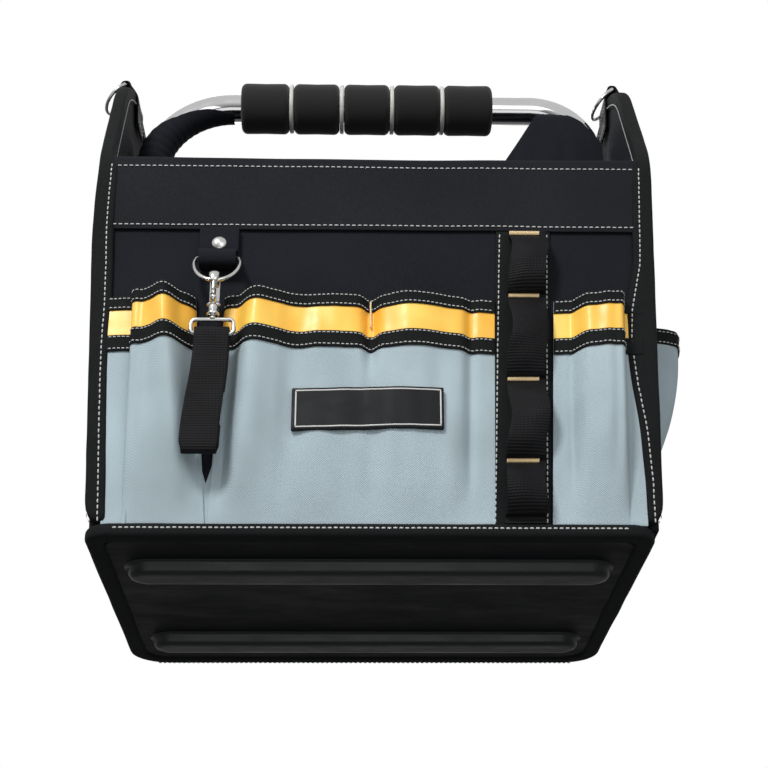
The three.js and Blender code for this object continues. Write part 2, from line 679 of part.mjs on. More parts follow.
// Cloth on the handle legs: a sleeve on the left one, a hanging flap in front of the right one
function buildLegCloth() {
  const inner = TUBE.radius + GAP;
  const circle = (radius) => arc(0, 0, radius, radius, 0, 337.5, 15);
  const lean = (LEFT_LEG.top - LEFT_LEG.foot) / (TUBE.top - LEFT_LEG.bend - TUBE.footZ);
  const onLeg = (x, y, z) => [x + LEFT_LEG.foot + lean * (z - TUBE.footZ), y, z];
  const sleeve = prism(circle(inner + SLEEVE.thickness), "z", SLEEVE.bottom, SLEEVE.top, circle(inner));
  add("left_handle_sleeve", closed(moveVertices(sleeve, onLeg)), "blackFabric");

  const flap = [[140, 421], [152, 419], [172, 404], [185, 384], [184, 310], [104, 300], [106, 364]];
  add("right_handle_flap", prism(flap, "y", FLAP.y, FLAP.y + FLAP.thickness), "blackFabric");
}

// Shoulder-strap rings

function buildEarRings() {
  const middle = halfWidthAt(EAR_TAB.loopZ) - BINDING / 2;
  const slope = (x, y, z) => [x + middle + FLARE * (z - EAR_TAB.loopZ), y, z];
  const clear = BINDING / 2 + GAP;
  const wide = clear + EAR_TAB.thickness;
  const crown = PEAK_Z + GAP;
  const radius = EAR_TAB.loopRadius;
  const profile = [
    [-wide, EAR_TAB.bottom], [-clear, EAR_TAB.bottom], [-clear, crown], [clear, crown], [clear, EAR_TAB.bottom],
    [wide, EAR_TAB.bottom], [wide, crown + 1], ...arc(0, EAR_TAB.loopZ, radius, radius, 0, 180, 8),
    [-wide, crown + 1],
  ];
  const loop = arc(0, EAR_TAB.loopZ, EAR_TAB.hole, EAR_TAB.hole, 0, 330, 11);
  const saddle = prism(profile, "y", -EAR_TAB.halfWidth, EAR_TAB.halfWidth, loop);
  const tab = closed(moveVertices(saddle, slope));
  add("right_ear_tab", onRightWall(tab), "blackFabric");
  add("left_ear_tab", mirrored(tab), "blackFabric");

  // Each ring turns about its bar, which lies along y. The left one rests outside the wall and
  // the right one rests inside it.
  const ring = () => bentRing(EAR_RING.halfWidth, EAR_RING.height).rotateZ(Math.PI / 2);
  const angle = THREE.MathUtils.degToRad(EAR_RING.angle);
  const rightRing = ring().rotateY(angle).translate(middle + RIGHT_SLACK, 0, EAR_TAB.loopZ);
  const leftRing = ring().rotateY(angle).translate(-middle, 0, EAR_TAB.loopZ);
  add("right_ear_ring", closed(rightRing), "nickel");
  add("left_ear_ring", closed(leftRing), "nickel");
}

buildBase();
buildSideWalls();
buildFrontAndBack();
buildPockets();
buildSidePockets();
buildToolLoops();
buildLabelPatch();
buildHookTab();
buildSnapHook();
buildHangingStrap();
buildHandle();
buildGrip();
buildBolts();
buildLegCloth();
buildEarRings();

export default group;
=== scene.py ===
"""Looks for an open-topped garden tool bag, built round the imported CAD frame.

Metres, +Z up, front towards -Y.
"""

import json
import math

import bpy
import numpy as np
from mathutils import Matrix, Vector, noise


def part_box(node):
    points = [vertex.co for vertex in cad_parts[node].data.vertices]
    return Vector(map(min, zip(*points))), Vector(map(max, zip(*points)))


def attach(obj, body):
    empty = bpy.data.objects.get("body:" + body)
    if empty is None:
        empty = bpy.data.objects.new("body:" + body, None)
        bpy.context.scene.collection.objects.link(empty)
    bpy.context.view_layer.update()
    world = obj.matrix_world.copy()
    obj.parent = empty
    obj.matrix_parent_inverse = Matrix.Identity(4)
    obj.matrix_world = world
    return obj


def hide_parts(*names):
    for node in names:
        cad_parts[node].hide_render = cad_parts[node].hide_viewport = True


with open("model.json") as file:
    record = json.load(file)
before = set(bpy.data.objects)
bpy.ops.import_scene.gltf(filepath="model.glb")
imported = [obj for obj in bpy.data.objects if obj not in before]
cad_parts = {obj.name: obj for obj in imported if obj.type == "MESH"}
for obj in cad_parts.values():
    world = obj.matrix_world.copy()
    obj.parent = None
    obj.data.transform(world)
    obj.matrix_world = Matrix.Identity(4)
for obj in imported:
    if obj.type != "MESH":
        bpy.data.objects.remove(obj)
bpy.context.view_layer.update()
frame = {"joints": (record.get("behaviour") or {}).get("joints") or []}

MM = 0.001
SIDES = (("left", -1), ("right", 1))
ACROSS, BACKWARD, UPWARD = Vector((1, 0, 0)), Vector((0, 1, 0)), Vector((0, 0, 1))
JOINTS = {joint["name"]: Vector(joint["pos_m"]) for joint in frame["joints"]}


# ---------------------------------------------------------------- sizes read from the frame

LEFT_LOW, LEFT_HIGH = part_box("left_edge_binding")
CAD_BINDING = 8 * MM
WALL_LOW, PEAK_Z, EDGE_Y = LEFT_LOW.z, LEFT_HIGH.z, LEFT_HIGH.y
FOOT_X = CAD_BINDING - LEFT_HIGH.x
FLARE = (-LEFT_LOW.x - FOOT_X) / (PEAK_Z - WALL_LOW)
RIGHT_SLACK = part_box("right_edge_binding")[1].x + LEFT_LOW.x
PANEL_LOW, PANEL_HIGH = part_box("front_panel")
FACE_Y = PANEL_LOW.y
PANEL_THICK = PANEL_HIGH.y - PANEL_LOW.y
BAND_LOW, BAND_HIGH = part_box("front_top_band")
RIM_Z = BAND_HIGH.z
BAND_BOTTOM = BAND_LOW.z
POCKET_LOW, POCKET_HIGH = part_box("front_pocket_centre")
POCKET_BOTTOM, POCKET_RIM = POCKET_LOW.z, POCKET_HIGH.z
TAPE_LOW, TAPE_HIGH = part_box("front_pocket_centre_hivis_tape")
TAPE_BOTTOM, TAPE_TOP = TAPE_LOW.z, TAPE_HIGH.z
LOWER_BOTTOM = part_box("front_pocket_centre_lower_binding")[0].z
SIDE_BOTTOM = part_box("right_side_pocket")[0].z
BASE_LOW, BASE_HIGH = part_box("base_cover")
WELT_LOW, WELT_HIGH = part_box("base_welt")

SIDE_SET_BACK = 1.5 * MM
SKIN = 2 * MM
PUFF_HEIGHT = 94 * MM
BINDING_WIDTH = 12 * MM
STITCH_PITCH = 3.9 * MM


def half_width(z):
    """Half width of the bag, to the outside of its left edge binding, at height z."""
    return FOOT_X + FLARE * (z - WALL_LOW)


def smoothstep(low, high, value):
    t = min(1.0, max(0.0, (value - low) / (high - low)))
    return t * t * (3 - 2 * t)


def edge_x(sign, y, z):
    """The outside of the left (-1) or right (1) edge binding. The raised ends lean and twist a little."""
    twist = 4 * MM * smoothstep(0, 45 * MM, y) * smoothstep(290 * MM, 400 * MM, z)
    if sign > 0:
        return half_width(z) + RIGHT_SLACK - twist
    lean = 4 * MM * smoothstep(215 * MM, 300 * MM, z)
    return lean + twist - half_width(z)


def wobble(x, y, z, size=0.09, amount=1 * MM):
    """A slow, repeatable unevenness, as cloth has."""
    return amount * noise.noise(Vector((x, y, z)) / size)


# ---------------------------------------------------------------- materials


class Shader:
    """A Principled material with a few helpers for procedural detail in object coordinates."""

    def __init__(self, name, colour, roughness, metallic=0.0):
        self.material = bpy.data.materials.new(name)
        self.material.use_nodes = True
        self.tree = self.material.node_tree
        self.surface = self.tree.nodes["Principled BSDF"]
        self.set("Base Color", (*colour, 1))
        self.set("Roughness", roughness)
        self.set("Metallic", metallic)
        self.place = self.node("ShaderNodeTexCoord").outputs["Object"]

    def node(self, kind, **settings):
        made = self.tree.nodes.new(kind)
        for key, value in settings.items():
            setattr(made, key, value)
        return made

    def set(self, socket, value):
        self.surface.inputs[socket].default_value = value

    def link(self, a, b):
        self.tree.links.new(a, b)

    def drive(self, socket, value):
        self.link(value, self.surface.inputs[socket])

    def tint(self, value, colour, low, high, *span):
        """Base colour from low to high times the colour, driven by value."""
        self.drive("Base Color", self.ramp(value, scaled(colour, low), scaled(colour, high), *span))

    def math(self, operation, a, b=None):
        made = self.node("ShaderNodeMath", operation=operation)
        for socket, value in zip(made.inputs, (a, b)):
            if value is None:
                continue
            if isinstance(value, (int, float)):
                socket.default_value = value
            else:
                self.link(value, socket)
        return made.outputs[0]

    def noise(self, size, detail=3.0, roughness=0.5, stretch=None):
        texture = self.node("ShaderNodeTexNoise")
        texture.inputs["Scale"].default_value = 1 / size
        texture.inputs["Detail"].default_value = detail
        texture.inputs["Roughness"].default_value = roughness
        place = self.place
        if stretch:
            mapping = self.node("ShaderNodeMapping")
            mapping.inputs["Scale"].default_value = stretch
            self.link(place, mapping.inputs["Vector"])
            place = mapping.outputs[0]
        self.link(place, texture.inputs["Vector"])
        return texture.outputs["Fac"]

    def ramp(self, value, low, high, start=0.3, end=0.7):
        """Maps start..end of value to the numbers or colours low..high."""
        if isinstance(low, (int, float)):
            made = self.node("ShaderNodeMapRange")
            self.link(value, made.inputs["Value"])
            for key, number in (("From Min", start), ("From Max", end), ("To Min", low), ("To Max", high)):
                made.inputs[key].default_value = number
            return made.outputs[0]
        made = self.node("ShaderNodeValToRGB")
        made.color_ramp.elements[0].position = start
        made.color_ramp.elements[0].color = (*low, 1)
        made.color_ramp.elements[1].position = end
        made.color_ramp.elements[1].color = (*high, 1)
        self.link(value, made.inputs["Fac"])
        return made.outputs["Color"]

    def waves(self, pitch, up_pitch):
        """Even waves along the walls, whichever way they face, and up them."""
        split = self.node("ShaderNodeSeparateXYZ")
        self.link(self.place, split.inputs[0])
        x, y, z = split.outputs
        across = self.math("MULTIPLY", self.math("ADD", x, y), math.tau / pitch)
        return self.math("SINE", across), self.math("SINE", self.math("MULTIPLY", z, math.tau / up_pitch))

    def weave(self, pitch):
        """A plain weave: bumps in rows across and up a wall."""
        return self.math("MULTIPLY_ADD", *self.waves(pitch, pitch))

    def bump(self, height, strength, distance, below=None):
        made = self.node("ShaderNodeBump")
        made.inputs["Strength"].default_value = strength
        made.inputs["Distance"].default_value = distance
        self.link(height, made.inputs["Height"])
        if below:
            self.link(below, made.inputs["Normal"])
        return made.outputs[0]


def scaled(colour, factor):
    return tuple(min(1.0, c * factor) for c in colour)


def fabric(name, colour, roughness=0.85, pitch=1.5 * MM, strength=0.35, sheen=0.25, variation=0.12):
    """Heavy woven cloth: weave, slow creases, uneven dye and a little sheen."""
    s = Shader(name, colour, roughness)
    slow = s.noise(55 * MM, detail=4)
    s.tint(slow, colour, 1 - variation, 1 + variation)
    fine = s.noise(1.1 * MM, detail=2)
    s.drive("Roughness", s.ramp(fine, roughness - 0.08, min(1.0, roughness + 0.08)))
    creases = s.bump(s.noise(28 * MM, detail=3), 0.18, 3 * MM)
    grain = s.bump(fine, strength * 0.6, 0.25 * MM, creases)
    s.drive("Normal", s.bump(s.weave(pitch), strength, 0.18 * MM, grain))
    s.set("Sheen Weight", sheen)
    s.set("Sheen Roughness", 0.5)
    s.set("Sheen Tint", (*scaled(colour, 3), 1))
    s.set("Specular IOR Level", 0.16)
    return s.material


def webbing(name, colour):
    """Ribbed strap: ribs across an upright length, and fine threads along it."""
    s = Shader(name, colour, 0.62)
    threads, ribs = s.waves(2.1 * MM, 1.7 * MM)
    slow = s.noise(20 * MM)
    s.tint(slow, colour, 0.8, 1.35)
    coarse = s.bump(ribs, 0.45, 0.3 * MM)
    fine = s.bump(threads, 0.3, 0.15 * MM, coarse)
    s.drive("Normal", s.bump(s.noise(0.9 * MM, detail=2), 0.25, 0.15 * MM, fine))
    s.set("Specular IOR Level", 0.13)
    return s.material


def reflective_tape(name):
    """Smooth warm tape with a fine grid of cells under the surface."""
    s = Shader(name, (0.94, 0.47, 0.055), 0.42)
    slow = s.noise(35 * MM, detail=2)
    s.drive("Base Color", s.ramp(slow, (1.0, 0.49, 0.045), (1.0, 0.68, 0.12)))
    s.drive("Roughness", s.ramp(s.noise(6 * MM), 0.36, 0.52))
    s.drive("Normal", s.bump(s.weave(1.2 * MM), 0.2, 0.08 * MM))
    s.set("Coat Weight", 0.15)
    s.set("Coat Roughness", 0.3)
    return s.material


def rubberised(name, colour, roughness, shine):
    """Rubberised skin with a fine pebble grain, scuffed a little lighter in places."""
    s = Shader(name, colour, roughness)
    cells = s.node("ShaderNodeTexVoronoi")
    cells.inputs["Scale"].default_value = 1 / (1.3 * MM)
    s.link(s.place, cells.inputs["Vector"])
    scuffs = s.noise(24 * MM, detail=6, roughness=0.65, stretch=(0.5, 1.4, 1))
    s.tint(scuffs, colour, 0.9, 1.25, 0.4, 0.75)
    s.drive("Roughness", s.ramp(scuffs, roughness - 0.06, roughness + 0.16, 0.35, 0.7))
    slow = s.bump(s.noise(40 * MM, detail=2), 0.12, 3 * MM)
    s.drive("Normal", s.bump(cells.outputs["Distance"], 0.22, 0.18 * MM, slow))
    s.set("Specular IOR Level", shine)
    return s.material


def foam(name, colour):
    s = Shader(name, colour, 0.88)
    pores = s.noise(0.8 * MM, detail=4, roughness=0.7)
    s.tint(pores, colour, 0.7, 1.3)
    dents = s.bump(s.noise(9 * MM, detail=2), 0.1, 1 * MM)
    s.drive("Normal", s.bump(pores, 0.5, 0.25 * MM, dents))
    s.set("Sheen Weight", 0.15)
    s.set("Specular IOR Level", 0.25)
    return s.material


def plated(name, colour, roughness):
    """Bright plated steel with faint polishing marks and smears."""
    s = Shader(name, colour, roughness, metallic=1.0)
    smears = s.noise(14 * MM, detail=4, stretch=(1, 1, 0.3))
    s.drive("Roughness", s.ramp(smears, roughness * 0.6, roughness * 1.7))
    s.tint(s.noise(30 * MM), colour, 0.94, 1.03)
    s.drive("Normal", s.bump(s.noise(2.5 * MM, detail=2), 0.03, 0.1 * MM))
    return s.material


def plastic(name, colour, roughness=0.45):
    s = Shader(name, colour, roughness)
    s.tint(s.noise(7 * MM), colour, 0.93, 1.05)
    s.drive("Normal", s.bump(s.noise(0.7 * MM, detail=2), 0.12, 0.08 * MM))
    return s.material


def thread(name, colour):
    """Twisted sewing thread."""
    s = Shader(name, colour, 0.7)
    twist = s.noise(0.5 * MM, detail=2)
    s.tint(twist, colour, 0.78, 1.08)
    s.drive("Normal", s.bump(twist, 0.4, 0.1 * MM))
    s.set("Sheen Weight", 0.2)
    return s.material


BLACK = fabric("black_fabric", (0.0084, 0.0094, 0.0134), 0.86, sheen=0.05)
CHARCOAL = fabric("charcoal_fabric", (0.0110, 0.0116, 0.0146), 0.84, pitch=1.3 * MM, sheen=0.06)
BINDING = fabric("binding_tape", (0.0070, 0.0082, 0.0086), 0.85, pitch=1.0 * MM, strength=0.3, sheen=0.02)
GREY = fabric("grey_fabric", (0.385, 0.475, 0.515), 0.82, pitch=1.6 * MM, strength=0.6, sheen=0.1,
              variation=0.1)
WEBBING = webbing("webbing", (0.0062, 0.0064, 0.0074))
ORANGE = reflective_tape("orange_tape")
RUBBER = rubberised("rubberised_skin", (0.0042, 0.0050, 0.0064), 0.5, 0.16)
# The rails' rubber is glossier than the base skin, which is real. Its base colour is also lighter than the
# base skin's, which is a painted highlight that makes the dark rails show.
RAIL_RUBBER_PAINTED_SHINE = rubberised("rail_rubber_painted_highlight", (0.0085, 0.0105, 0.0110), 0.36, 0.5)
PATCH_RUBBER = rubberised("patch_rubber", (0.0070, 0.0078, 0.0092), 0.5, 0.2)
FOAM = foam("grip_foam", (0.0118, 0.0120, 0.0122))
COLLAR = plastic("grey_collar", (0.56, 0.56, 0.53))
BOARD = plastic("base_board", (0.018, 0.018, 0.020))
CHROME = plated("chrome", (0.82, 0.82, 0.83), 0.09)
NICKEL = plated("nickel", (0.74, 0.74, 0.72), 0.17)
THREAD = thread("white_thread", (0.56, 0.57, 0.56))
CREAM = thread("cream_thread", (0.86, 0.66, 0.36))
PALE = plastic("pale_edge", (0.62, 0.62, 0.60), 0.5)


# ---------------------------------------------------------------- mesh tools


def make(name, vertices, faces, material, slot, body="bag", replaces=(), smooth=True):
    mesh = bpy.data.meshes.new(name)
    mesh.from_pydata([tuple(v) for v in vertices], [], faces)
    mesh.validate()
    mesh.materials.append(material)
    mesh.polygons.foreach_set("use_smooth", [smooth] * len(mesh.polygons))
    piece = bpy.data.objects.new(name, mesh)
    bpy.context.scene.collection.objects.link(piece)
    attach(piece, body)
    if replaces:
        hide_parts(*replaces)
    return piece


def modifier(piece, kind, **settings):
    made = piece.modifiers.new(kind.title(), kind)
    for key, value in settings.items():
        setattr(made, key, value)
    return made


def grid(point, across, up):
    """Vertices and faces of a sheet from point(u, v), with u and v from 0 to 1."""
    vertices = [point(i / across, j / up) for j in range(up + 1) for i in range(across + 1)]
    wide = across + 1
    faces = [
        (j * wide + i, j * wide + i + 1, (j + 1) * wide + i + 1, (j + 1) * wide + i)
        for j in range(up)
        for i in range(across)
    ]
    return vertices, faces


def cloth(name, point, across, up, thickness, material, slot, side=-1, **facts):
    """A sheet with thickness and softened edges. side -1 keeps the given surface on the outside."""
    vertices, faces = grid(point, across, up)
    piece = make(name, vertices, faces, material, slot, **facts)
    modifier(piece, "SOLIDIFY", thickness=thickness, offset=side, use_even_offset=False)
    modifier(piece, "BEVEL", width=min(0.6 * MM, thickness * 0.35), segments=2, limit_method="ANGLE",
             angle_limit=math.radians(50), harden_normals=False)
    return piece


def loft(rings, closed=False):
    """Vertices and faces of a body through rings that all have the same number of points."""
    count = len(rings[0])
    vertices = [p for ring in rings for p in ring]
    faces = []
    spans = len(rings) if closed else len(rings) - 1
    for j in range(spans):
        a, b = j * count, ((j + 1) % len(rings)) * count
        for i in range(count):
            k = (i + 1) % count
            faces.append((a + i, a + k, b + k, b + i))
    if not closed:
        faces.append(tuple(range(count))[::-1])
        last = (len(rings) - 1) * count
        faces.append(tuple(range(last, last + count)))
    return vertices, faces


def outward(vertices, faces):
    """Turns the faces of a closed body outwards."""
    volume = 0.0
    for face in faces:
        a = Vector(vertices[face[0]])
        for i in range(1, len(face) - 1):
            volume += a.dot(Vector(vertices[face[i]]).cross(Vector(vertices[face[i + 1]])))
    return vertices, faces if volume > 0 else [f[::-1] for f in faces]


def merged(parts):
    vertices, faces = [], []
    for part_vertices, part_faces in parts:
        start = len(vertices)
        vertices += part_vertices
        faces += [tuple(i + start for i in f) for f in part_faces]
    return vertices, faces


def rounded(x0, x1, y0, y1, radius, steps=4, rear=None):
    """A rounded rectangle as (x, y) pairs. The corners at y1 can have their own radius."""
    corners = ((x1, y1, 0), (x0, y1, 90), (x0, y0, 180), (x1, y0, 270))
    points = []
    for x, y, start in corners:
        bend = rear if rear and y == y1 else radius
        cx = x - bend if x == x1 else x + bend
        cy = y - bend if y == y1 else y + bend
        for k in range(steps + 1):
            a = math.radians(start + 90 * k / steps)
            points.append((cx + bend * math.cos(a), cy + bend * math.sin(a)))
    return points


def sweep(path, section, closed=False, up=UPWARD):
    """A section of (side, up) pairs, or one per path point, carried along a path without twist."""
    path = [Vector(p) for p in path]
    count = len(path)
    rings = []
    normal = None
    for i, here in enumerate(path):
        before = path[i - 1] if (i or closed) else here
        after = path[(i + 1) % count] if (closed or i < count - 1) else here
        tangent = (after - before).normalized()
        if normal is None:
            normal = up - tangent * up.dot(tangent)
        normal = (normal - tangent * normal.dot(tangent)).normalized()
        side = tangent.cross(normal)
        shape = section[i] if isinstance(section[0], list) else section
        rings.append([here + side * a + normal * b for a, b in shape])
    return outward(*loft(rings, closed))


def circle(radius, count=12, squash=1.0):
    return [
        (radius * math.cos(math.tau * k / count), radius * squash * math.sin(math.tau * k / count))
        for k in range(count)
    ]


def turned(profile, axis, centre, count=32):
    """A body turned about an axis: profile is (along, radius) pairs from end to end, closed on the axis."""
    frames = {"x": (ACROSS, BACKWARD, UPWARD), "y": (BACKWARD, UPWARD, ACROSS),
              "z": (UPWARD, ACROSS, BACKWARD)}
    along, side, up = frames[axis]
    rings = []
    for a, r in profile:
        r = max(r, 0.02 * MM)
        rings.append([Vector(centre) + along * a + side * b + up * c for b, c in circle(r, count)])
    return outward(*loft(rings))


def spline(points, count):
    """Smooth points through control points of any width (Catmull-Rom)."""
    p = [np.array(q, float) for q in points]
    p = [2 * p[0] - p[1], *p, 2 * p[-1] - p[-2]]
    made = []
    spans = len(p) - 3
    for k in range(count + 1):
        t = min(spans - 1e-9, spans * k / count)
        i = int(t)
        t -= i
        a, b, c, d = p[i : i + 4]
        made.append(0.5 * (2 * b + (c - a) * t + (2 * a - 5 * b + 4 * c - d) * t * t
                           + (3 * b - a - 3 * c + d) * t**3))
    return made


def resampled(path, pitch):
    """Points and tangents at an even pitch along a path."""
    path = [Vector(p) for p in path]
    lengths = np.cumsum([0.0] + [(b - a).length for a, b in zip(path, path[1:])])
    count = max(1, int(round(lengths[-1] / pitch)))
    data = np.array([tuple(p) for p in path])
    spots = (np.arange(count) + 0.5) * lengths[-1] / count
    here = np.stack([np.interp(spots, lengths, data[:, k]) for k in range(3)], 1)
    step = pitch * 0.4
    ahead = np.stack([np.interp(spots + step, lengths, data[:, k]) for k in range(3)], 1)
    behind = np.stack([np.interp(spots - step, lengths, data[:, k]) for k in range(3)], 1)
    return [(Vector(a), (Vector(c) - Vector(b)).normalized()) for a, b, c in zip(here, behind, ahead)]


def stitch_rows(name, rows, pitch=STITCH_PITCH, length=2.7 * MM, width=0.95 * MM):
    """Rows of short raised stitches. A row is a path and the direction that its cloth faces."""
    parts = []
    for path, facing in rows:
        for here, tangent in resampled(path, pitch):
            normal = Vector(facing)
            normal = (normal - tangent * normal.dot(tangent)).normalized()
            side = tangent.cross(normal)
            shift = noise.noise(here * 900) * 0.15 * MM
            rings = []
            for along, size in ((-0.5, 0.35), (-0.36, 0.9), (0.0, 1.0), (0.36, 0.9), (0.5, 0.35)):
                lift = 0.12 * MM + 0.28 * MM * (1 - (2 * along) ** 2)
                middle = here + tangent * (along * length) + normal * lift + side * shift
                ring = circle(width / 2 * size, 6, 0.6)
                rings.append([middle + side * a + normal * b for a, b in ring])
            parts.append(outward(*loft(rings)))
    return make(name, *merged(parts), THREAD, "thread")


def between_points(points, share):
    """The place at share, from 0 to 1, along a list of evenly spaced points."""
    k = min(max(share, 0.0), 1.0) * (len(points) - 1)
    i = min(int(k), len(points) - 2)
    return points[i] + (points[i + 1] - points[i]) * (k - i)


# ---------------------------------------------------------------- the side walls' outline

SHOULDER = (66 * MM, 388 * MM)


def side_outline():
    """The side wall's edge in (y, z), from the front foot over the peak to the back foot."""
    controls = ((-SHOULDER[0], SHOULDER[1]), (-54 * MM, 407 * MM), (-14 * MM, PEAK_Z - 2 * MM), (0, PEAK_Z))
    a, b, c, d = (np.array(p) for p in controls)
    arch = [(1 - t) ** 3 * a + 3 * (1 - t) ** 2 * t * b + 3 * (1 - t) * t * t * c + t**3 * d
            for t in np.linspace(0, 1, 15)]
    low = [np.array((-EDGE_Y, WALL_LOW + (RIM_Z - WALL_LOW) * k / 40)) for k in range(40)]
    corner, start = np.array((-EDGE_Y, RIM_Z)), arch[0]
    slant = [corner + (start - corner) * k / 20 for k in range(20)]
    front = low + slant + arch
    back = [np.array((-y, z)) for y, z in front[:-1][::-1]]
    return front + back


def smoothed(points, passes):
    points = [np.array(p) for p in points]
    for _ in range(passes):
        middle = [(a + 2 * b + c) / 4 for a, b, c in zip(points, points[1:], points[2:])]
        points = [points[0], *middle, points[-1]]
    return points


OUTLINE = smoothed(side_outline(), 6)
FRONT_HALF = OUTLINE[: len(OUTLINE) // 2 + 1]


def inward_normals(points):
    normals = []
    for i in range(len(points)):
        a, b = points[max(i - 1, 0)], points[min(i + 1, len(points) - 1)]
        dy, dz = b - a
        size = math.hypot(dy, dz)
        normals.append(np.array((dz / size, -dy / size)))
    return normals


def half_depth(z):
    """Half the side wall's width at height z."""
    heights = [p[1] for p in FRONT_HALF]
    return float(np.interp(z, heights, [-p[0] for p in FRONT_HALF]))


def front_face(x, z, lift=0.0):
    """A point on the front panel's outer face, or on one sewn to it at that lift."""
    return Vector((x, FACE_Y - lift + wobble(x, 0, z), z))


def back_face(x, z, lift=0.0):
    return Vector((x, -FACE_Y + lift + wobble(x, 1, z), z))


def side_face(y, z, lift=0.0, sign=1):
    return Vector((edge_x(sign, y, z) + sign * (lift - SIDE_SET_BACK + wobble(2, y, z)), y, z))


# ---------------------------------------------------------------- walls


ENDS = (("front", -1, front_face), ("back", 1, back_face))


def between_walls(u, y, z, inset):
    """The x at u from 0 to 1 across the bag, inset from both edge bindings."""
    left, right = edge_x(-1, y, z) + inset, edge_x(1, y, z) - inset
    return left + (right - left) * u


def build_walls():
    edge = 9 * MM
    low, high = WALL_LOW - 2 * MM, RIM_Z - 3 * MM
    for name, side, face in ENDS:
        def point(u, v):
            z = low + (high - low) * v
            return face(between_walls(u, side * EDGE_Y, z, edge), z)

        cloth(f"{name}_panel_cloth", point, 60, 44, PANEL_THICK, BLACK, "black_fabric", side=side,
              replaces=(f"{name}_panel",))
    for name, sign in SIDES:
        def point(u, v):
            z = low + (PEAK_Z - 3 * MM - low) * (1 - (1 - v) ** 1.3)
            return side_face((2 * u - 1) * max(1 * MM, half_depth(z) - 6 * MM), z, sign=sign)

        cloth(f"{name}_side_cloth", point, 48, 80, PANEL_THICK, BLACK, "black_fabric", side=-sign,
              replaces=(f"{name}_side_panel",))


# How far the stitches on a corner tape's front face stand in from its outside, by height, in mm
STITCH_HEIGHTS = (16, 45, 80, 110, 140, 165, 200, 285)
LEFT_REACH = (7.5, 7.5, 7.2, 7.2, 7.6, 9.0, 9.4, 8.6)
RIGHT_REACH = (5.0, 5.6, 8.2, 13.0, 16.4, 15.5, 9.4, 8.2)


def stitch_reach(sign, z):
    reach = LEFT_REACH if sign < 0 else RIGHT_REACH
    return float(np.interp(z / MM, STITCH_HEIGHTS, reach)) * MM


def build_bindings():
    """Tape folded round the side walls' edge: it also laps onto the front and back panels below the rim."""
    normals = inward_normals(OUTLINE)
    foot = 11 * MM
    for name, sign in SIDES:
        rings = []
        rows = {"front": [], "back": [], "outside": [], "inside": []}
        for (y, z), (ny, nz) in zip(OUTLINE, normals):
            wide = 1 - smoothstep(RIM_Z - 8 * MM, RIM_Z + 6 * MM, z)
            reach = stitch_reach(sign, z) if y < 0 else 7.5 * MM
            inner = -CAD_BINDING - 0.6 * MM - wide * max(0.0, reach + 4 * MM - CAD_BINDING)
            pucker = wobble(sign, y, z, 0.012, 0.35 * MM)
            tuck = 5 * MM * (1 - smoothstep(WALL_LOW, WALL_LOW + foot, z)) ** 2
            outer = 0.7 * MM + pucker - tuck
            section = rounded(inner, outer, pucker - 0.6 * MM, BINDING_WIDTH, 2.4 * MM)
            x = edge_x(sign, y, z)
            rings.append([Vector((x + sign * a, y + ny * b, z + nz * b)) for a, b in section])
            if z < RIM_Z - 2 * MM:
                side = "front" if y < 0 else "back"
                rows[side].append(Vector((x - sign * reach, y - ny * 0.7 * MM, z)))
            else:
                depth = BINDING_WIDTH - 3 * MM
                at = x + sign * (inner - 0.1 * MM)
                rows["inside"].append(Vector((at, y + ny * depth, z + nz * depth)))
            depth = BINDING_WIDTH - 2.6 * MM
            rows["outside"].append(Vector((x + sign * (0.8 * MM - tuck), y + ny * depth, z + nz * depth)))
        piece = make(f"{name}_binding_tape", *outward(*loft(rings)), BINDING, "black_fabric",
                     replaces=(f"{name}_edge_binding",))
        modifier(piece, "SUBSURF", levels=1, render_levels=1)
        stitch_rows(f"{name}_binding_stitches", [
            (rows["front"], (0, -1, 0)), (rows["back"], (0, 1, 0)),
            (rows["inside"], (-sign, 0, 0)), (rows["outside"], (sign, 0, 0)),
        ])


def band_profile(thick):
    """The top band's section in (out from the panel, z), from its lower edge over the rim to the inside."""
    outer, inner = thick, -PANEL_THICK - thick
    below = RIM_Z - 6 * MM
    outside = [(outer, BAND_BOTTOM + (below - BAND_BOTTOM) * k / 8) for k in range(9)]
    over = spline([(outer, RIM_Z - 5 * MM), (outer - 0.4 * MM, RIM_Z - 1.2 * MM),
                   (-2.5 * MM, RIM_Z + 0.8 * MM),
                   (inner + 0.4 * MM, RIM_Z - 1.2 * MM), (inner, RIM_Z - 5 * MM)], 14)
    inside = [(inner, RIM_Z - 20 * MM), (inner, RIM_Z - 45 * MM)]
    return [np.array(p) for p in (*outside, *over, *inside)]


def build_top_bands():
    profile = band_profile(2.4 * MM)
    for name, side, face in ENDS:
        def point(u, v):
            out, z = between_points(profile, v)
            x = between_walls(u, side * EDGE_Y, z, 9.5 * MM)
            sag = 0.9 * MM * math.sin(math.pi * u) * smoothstep(BAND_BOTTOM, RIM_Z, z)
            where = face(x, z, out)
            where.z += wobble(x, 3, 0, 0.05, 0.5 * MM) - sag
            return where

        cloth(f"{name}_band_cloth", point, 80, len(profile) - 1, 1.6 * MM, CHARCOAL, "charcoal_fabric",
              side=side, replaces=(f"{name}_top_band",))
        rows = []
        for height in (RIM_Z - 9 * MM, BAND_BOTTOM + 3.2 * MM):
            path = [face(between_walls(k / 60, side * EDGE_Y, height, 12 * MM), height, 2.6 * MM)
                    for k in range(61)]
            for spot in path:
                spot.z += wobble(spot.x, 3, 0, 0.05, 0.5 * MM)
            rows.append((path, (0, side, 0)))
        stitch_rows(f"{name}_band_stitches", rows)


# ---------------------------------------------------------------- pockets


def bell(distance, width):
    return math.exp(-((distance / width) ** 2))


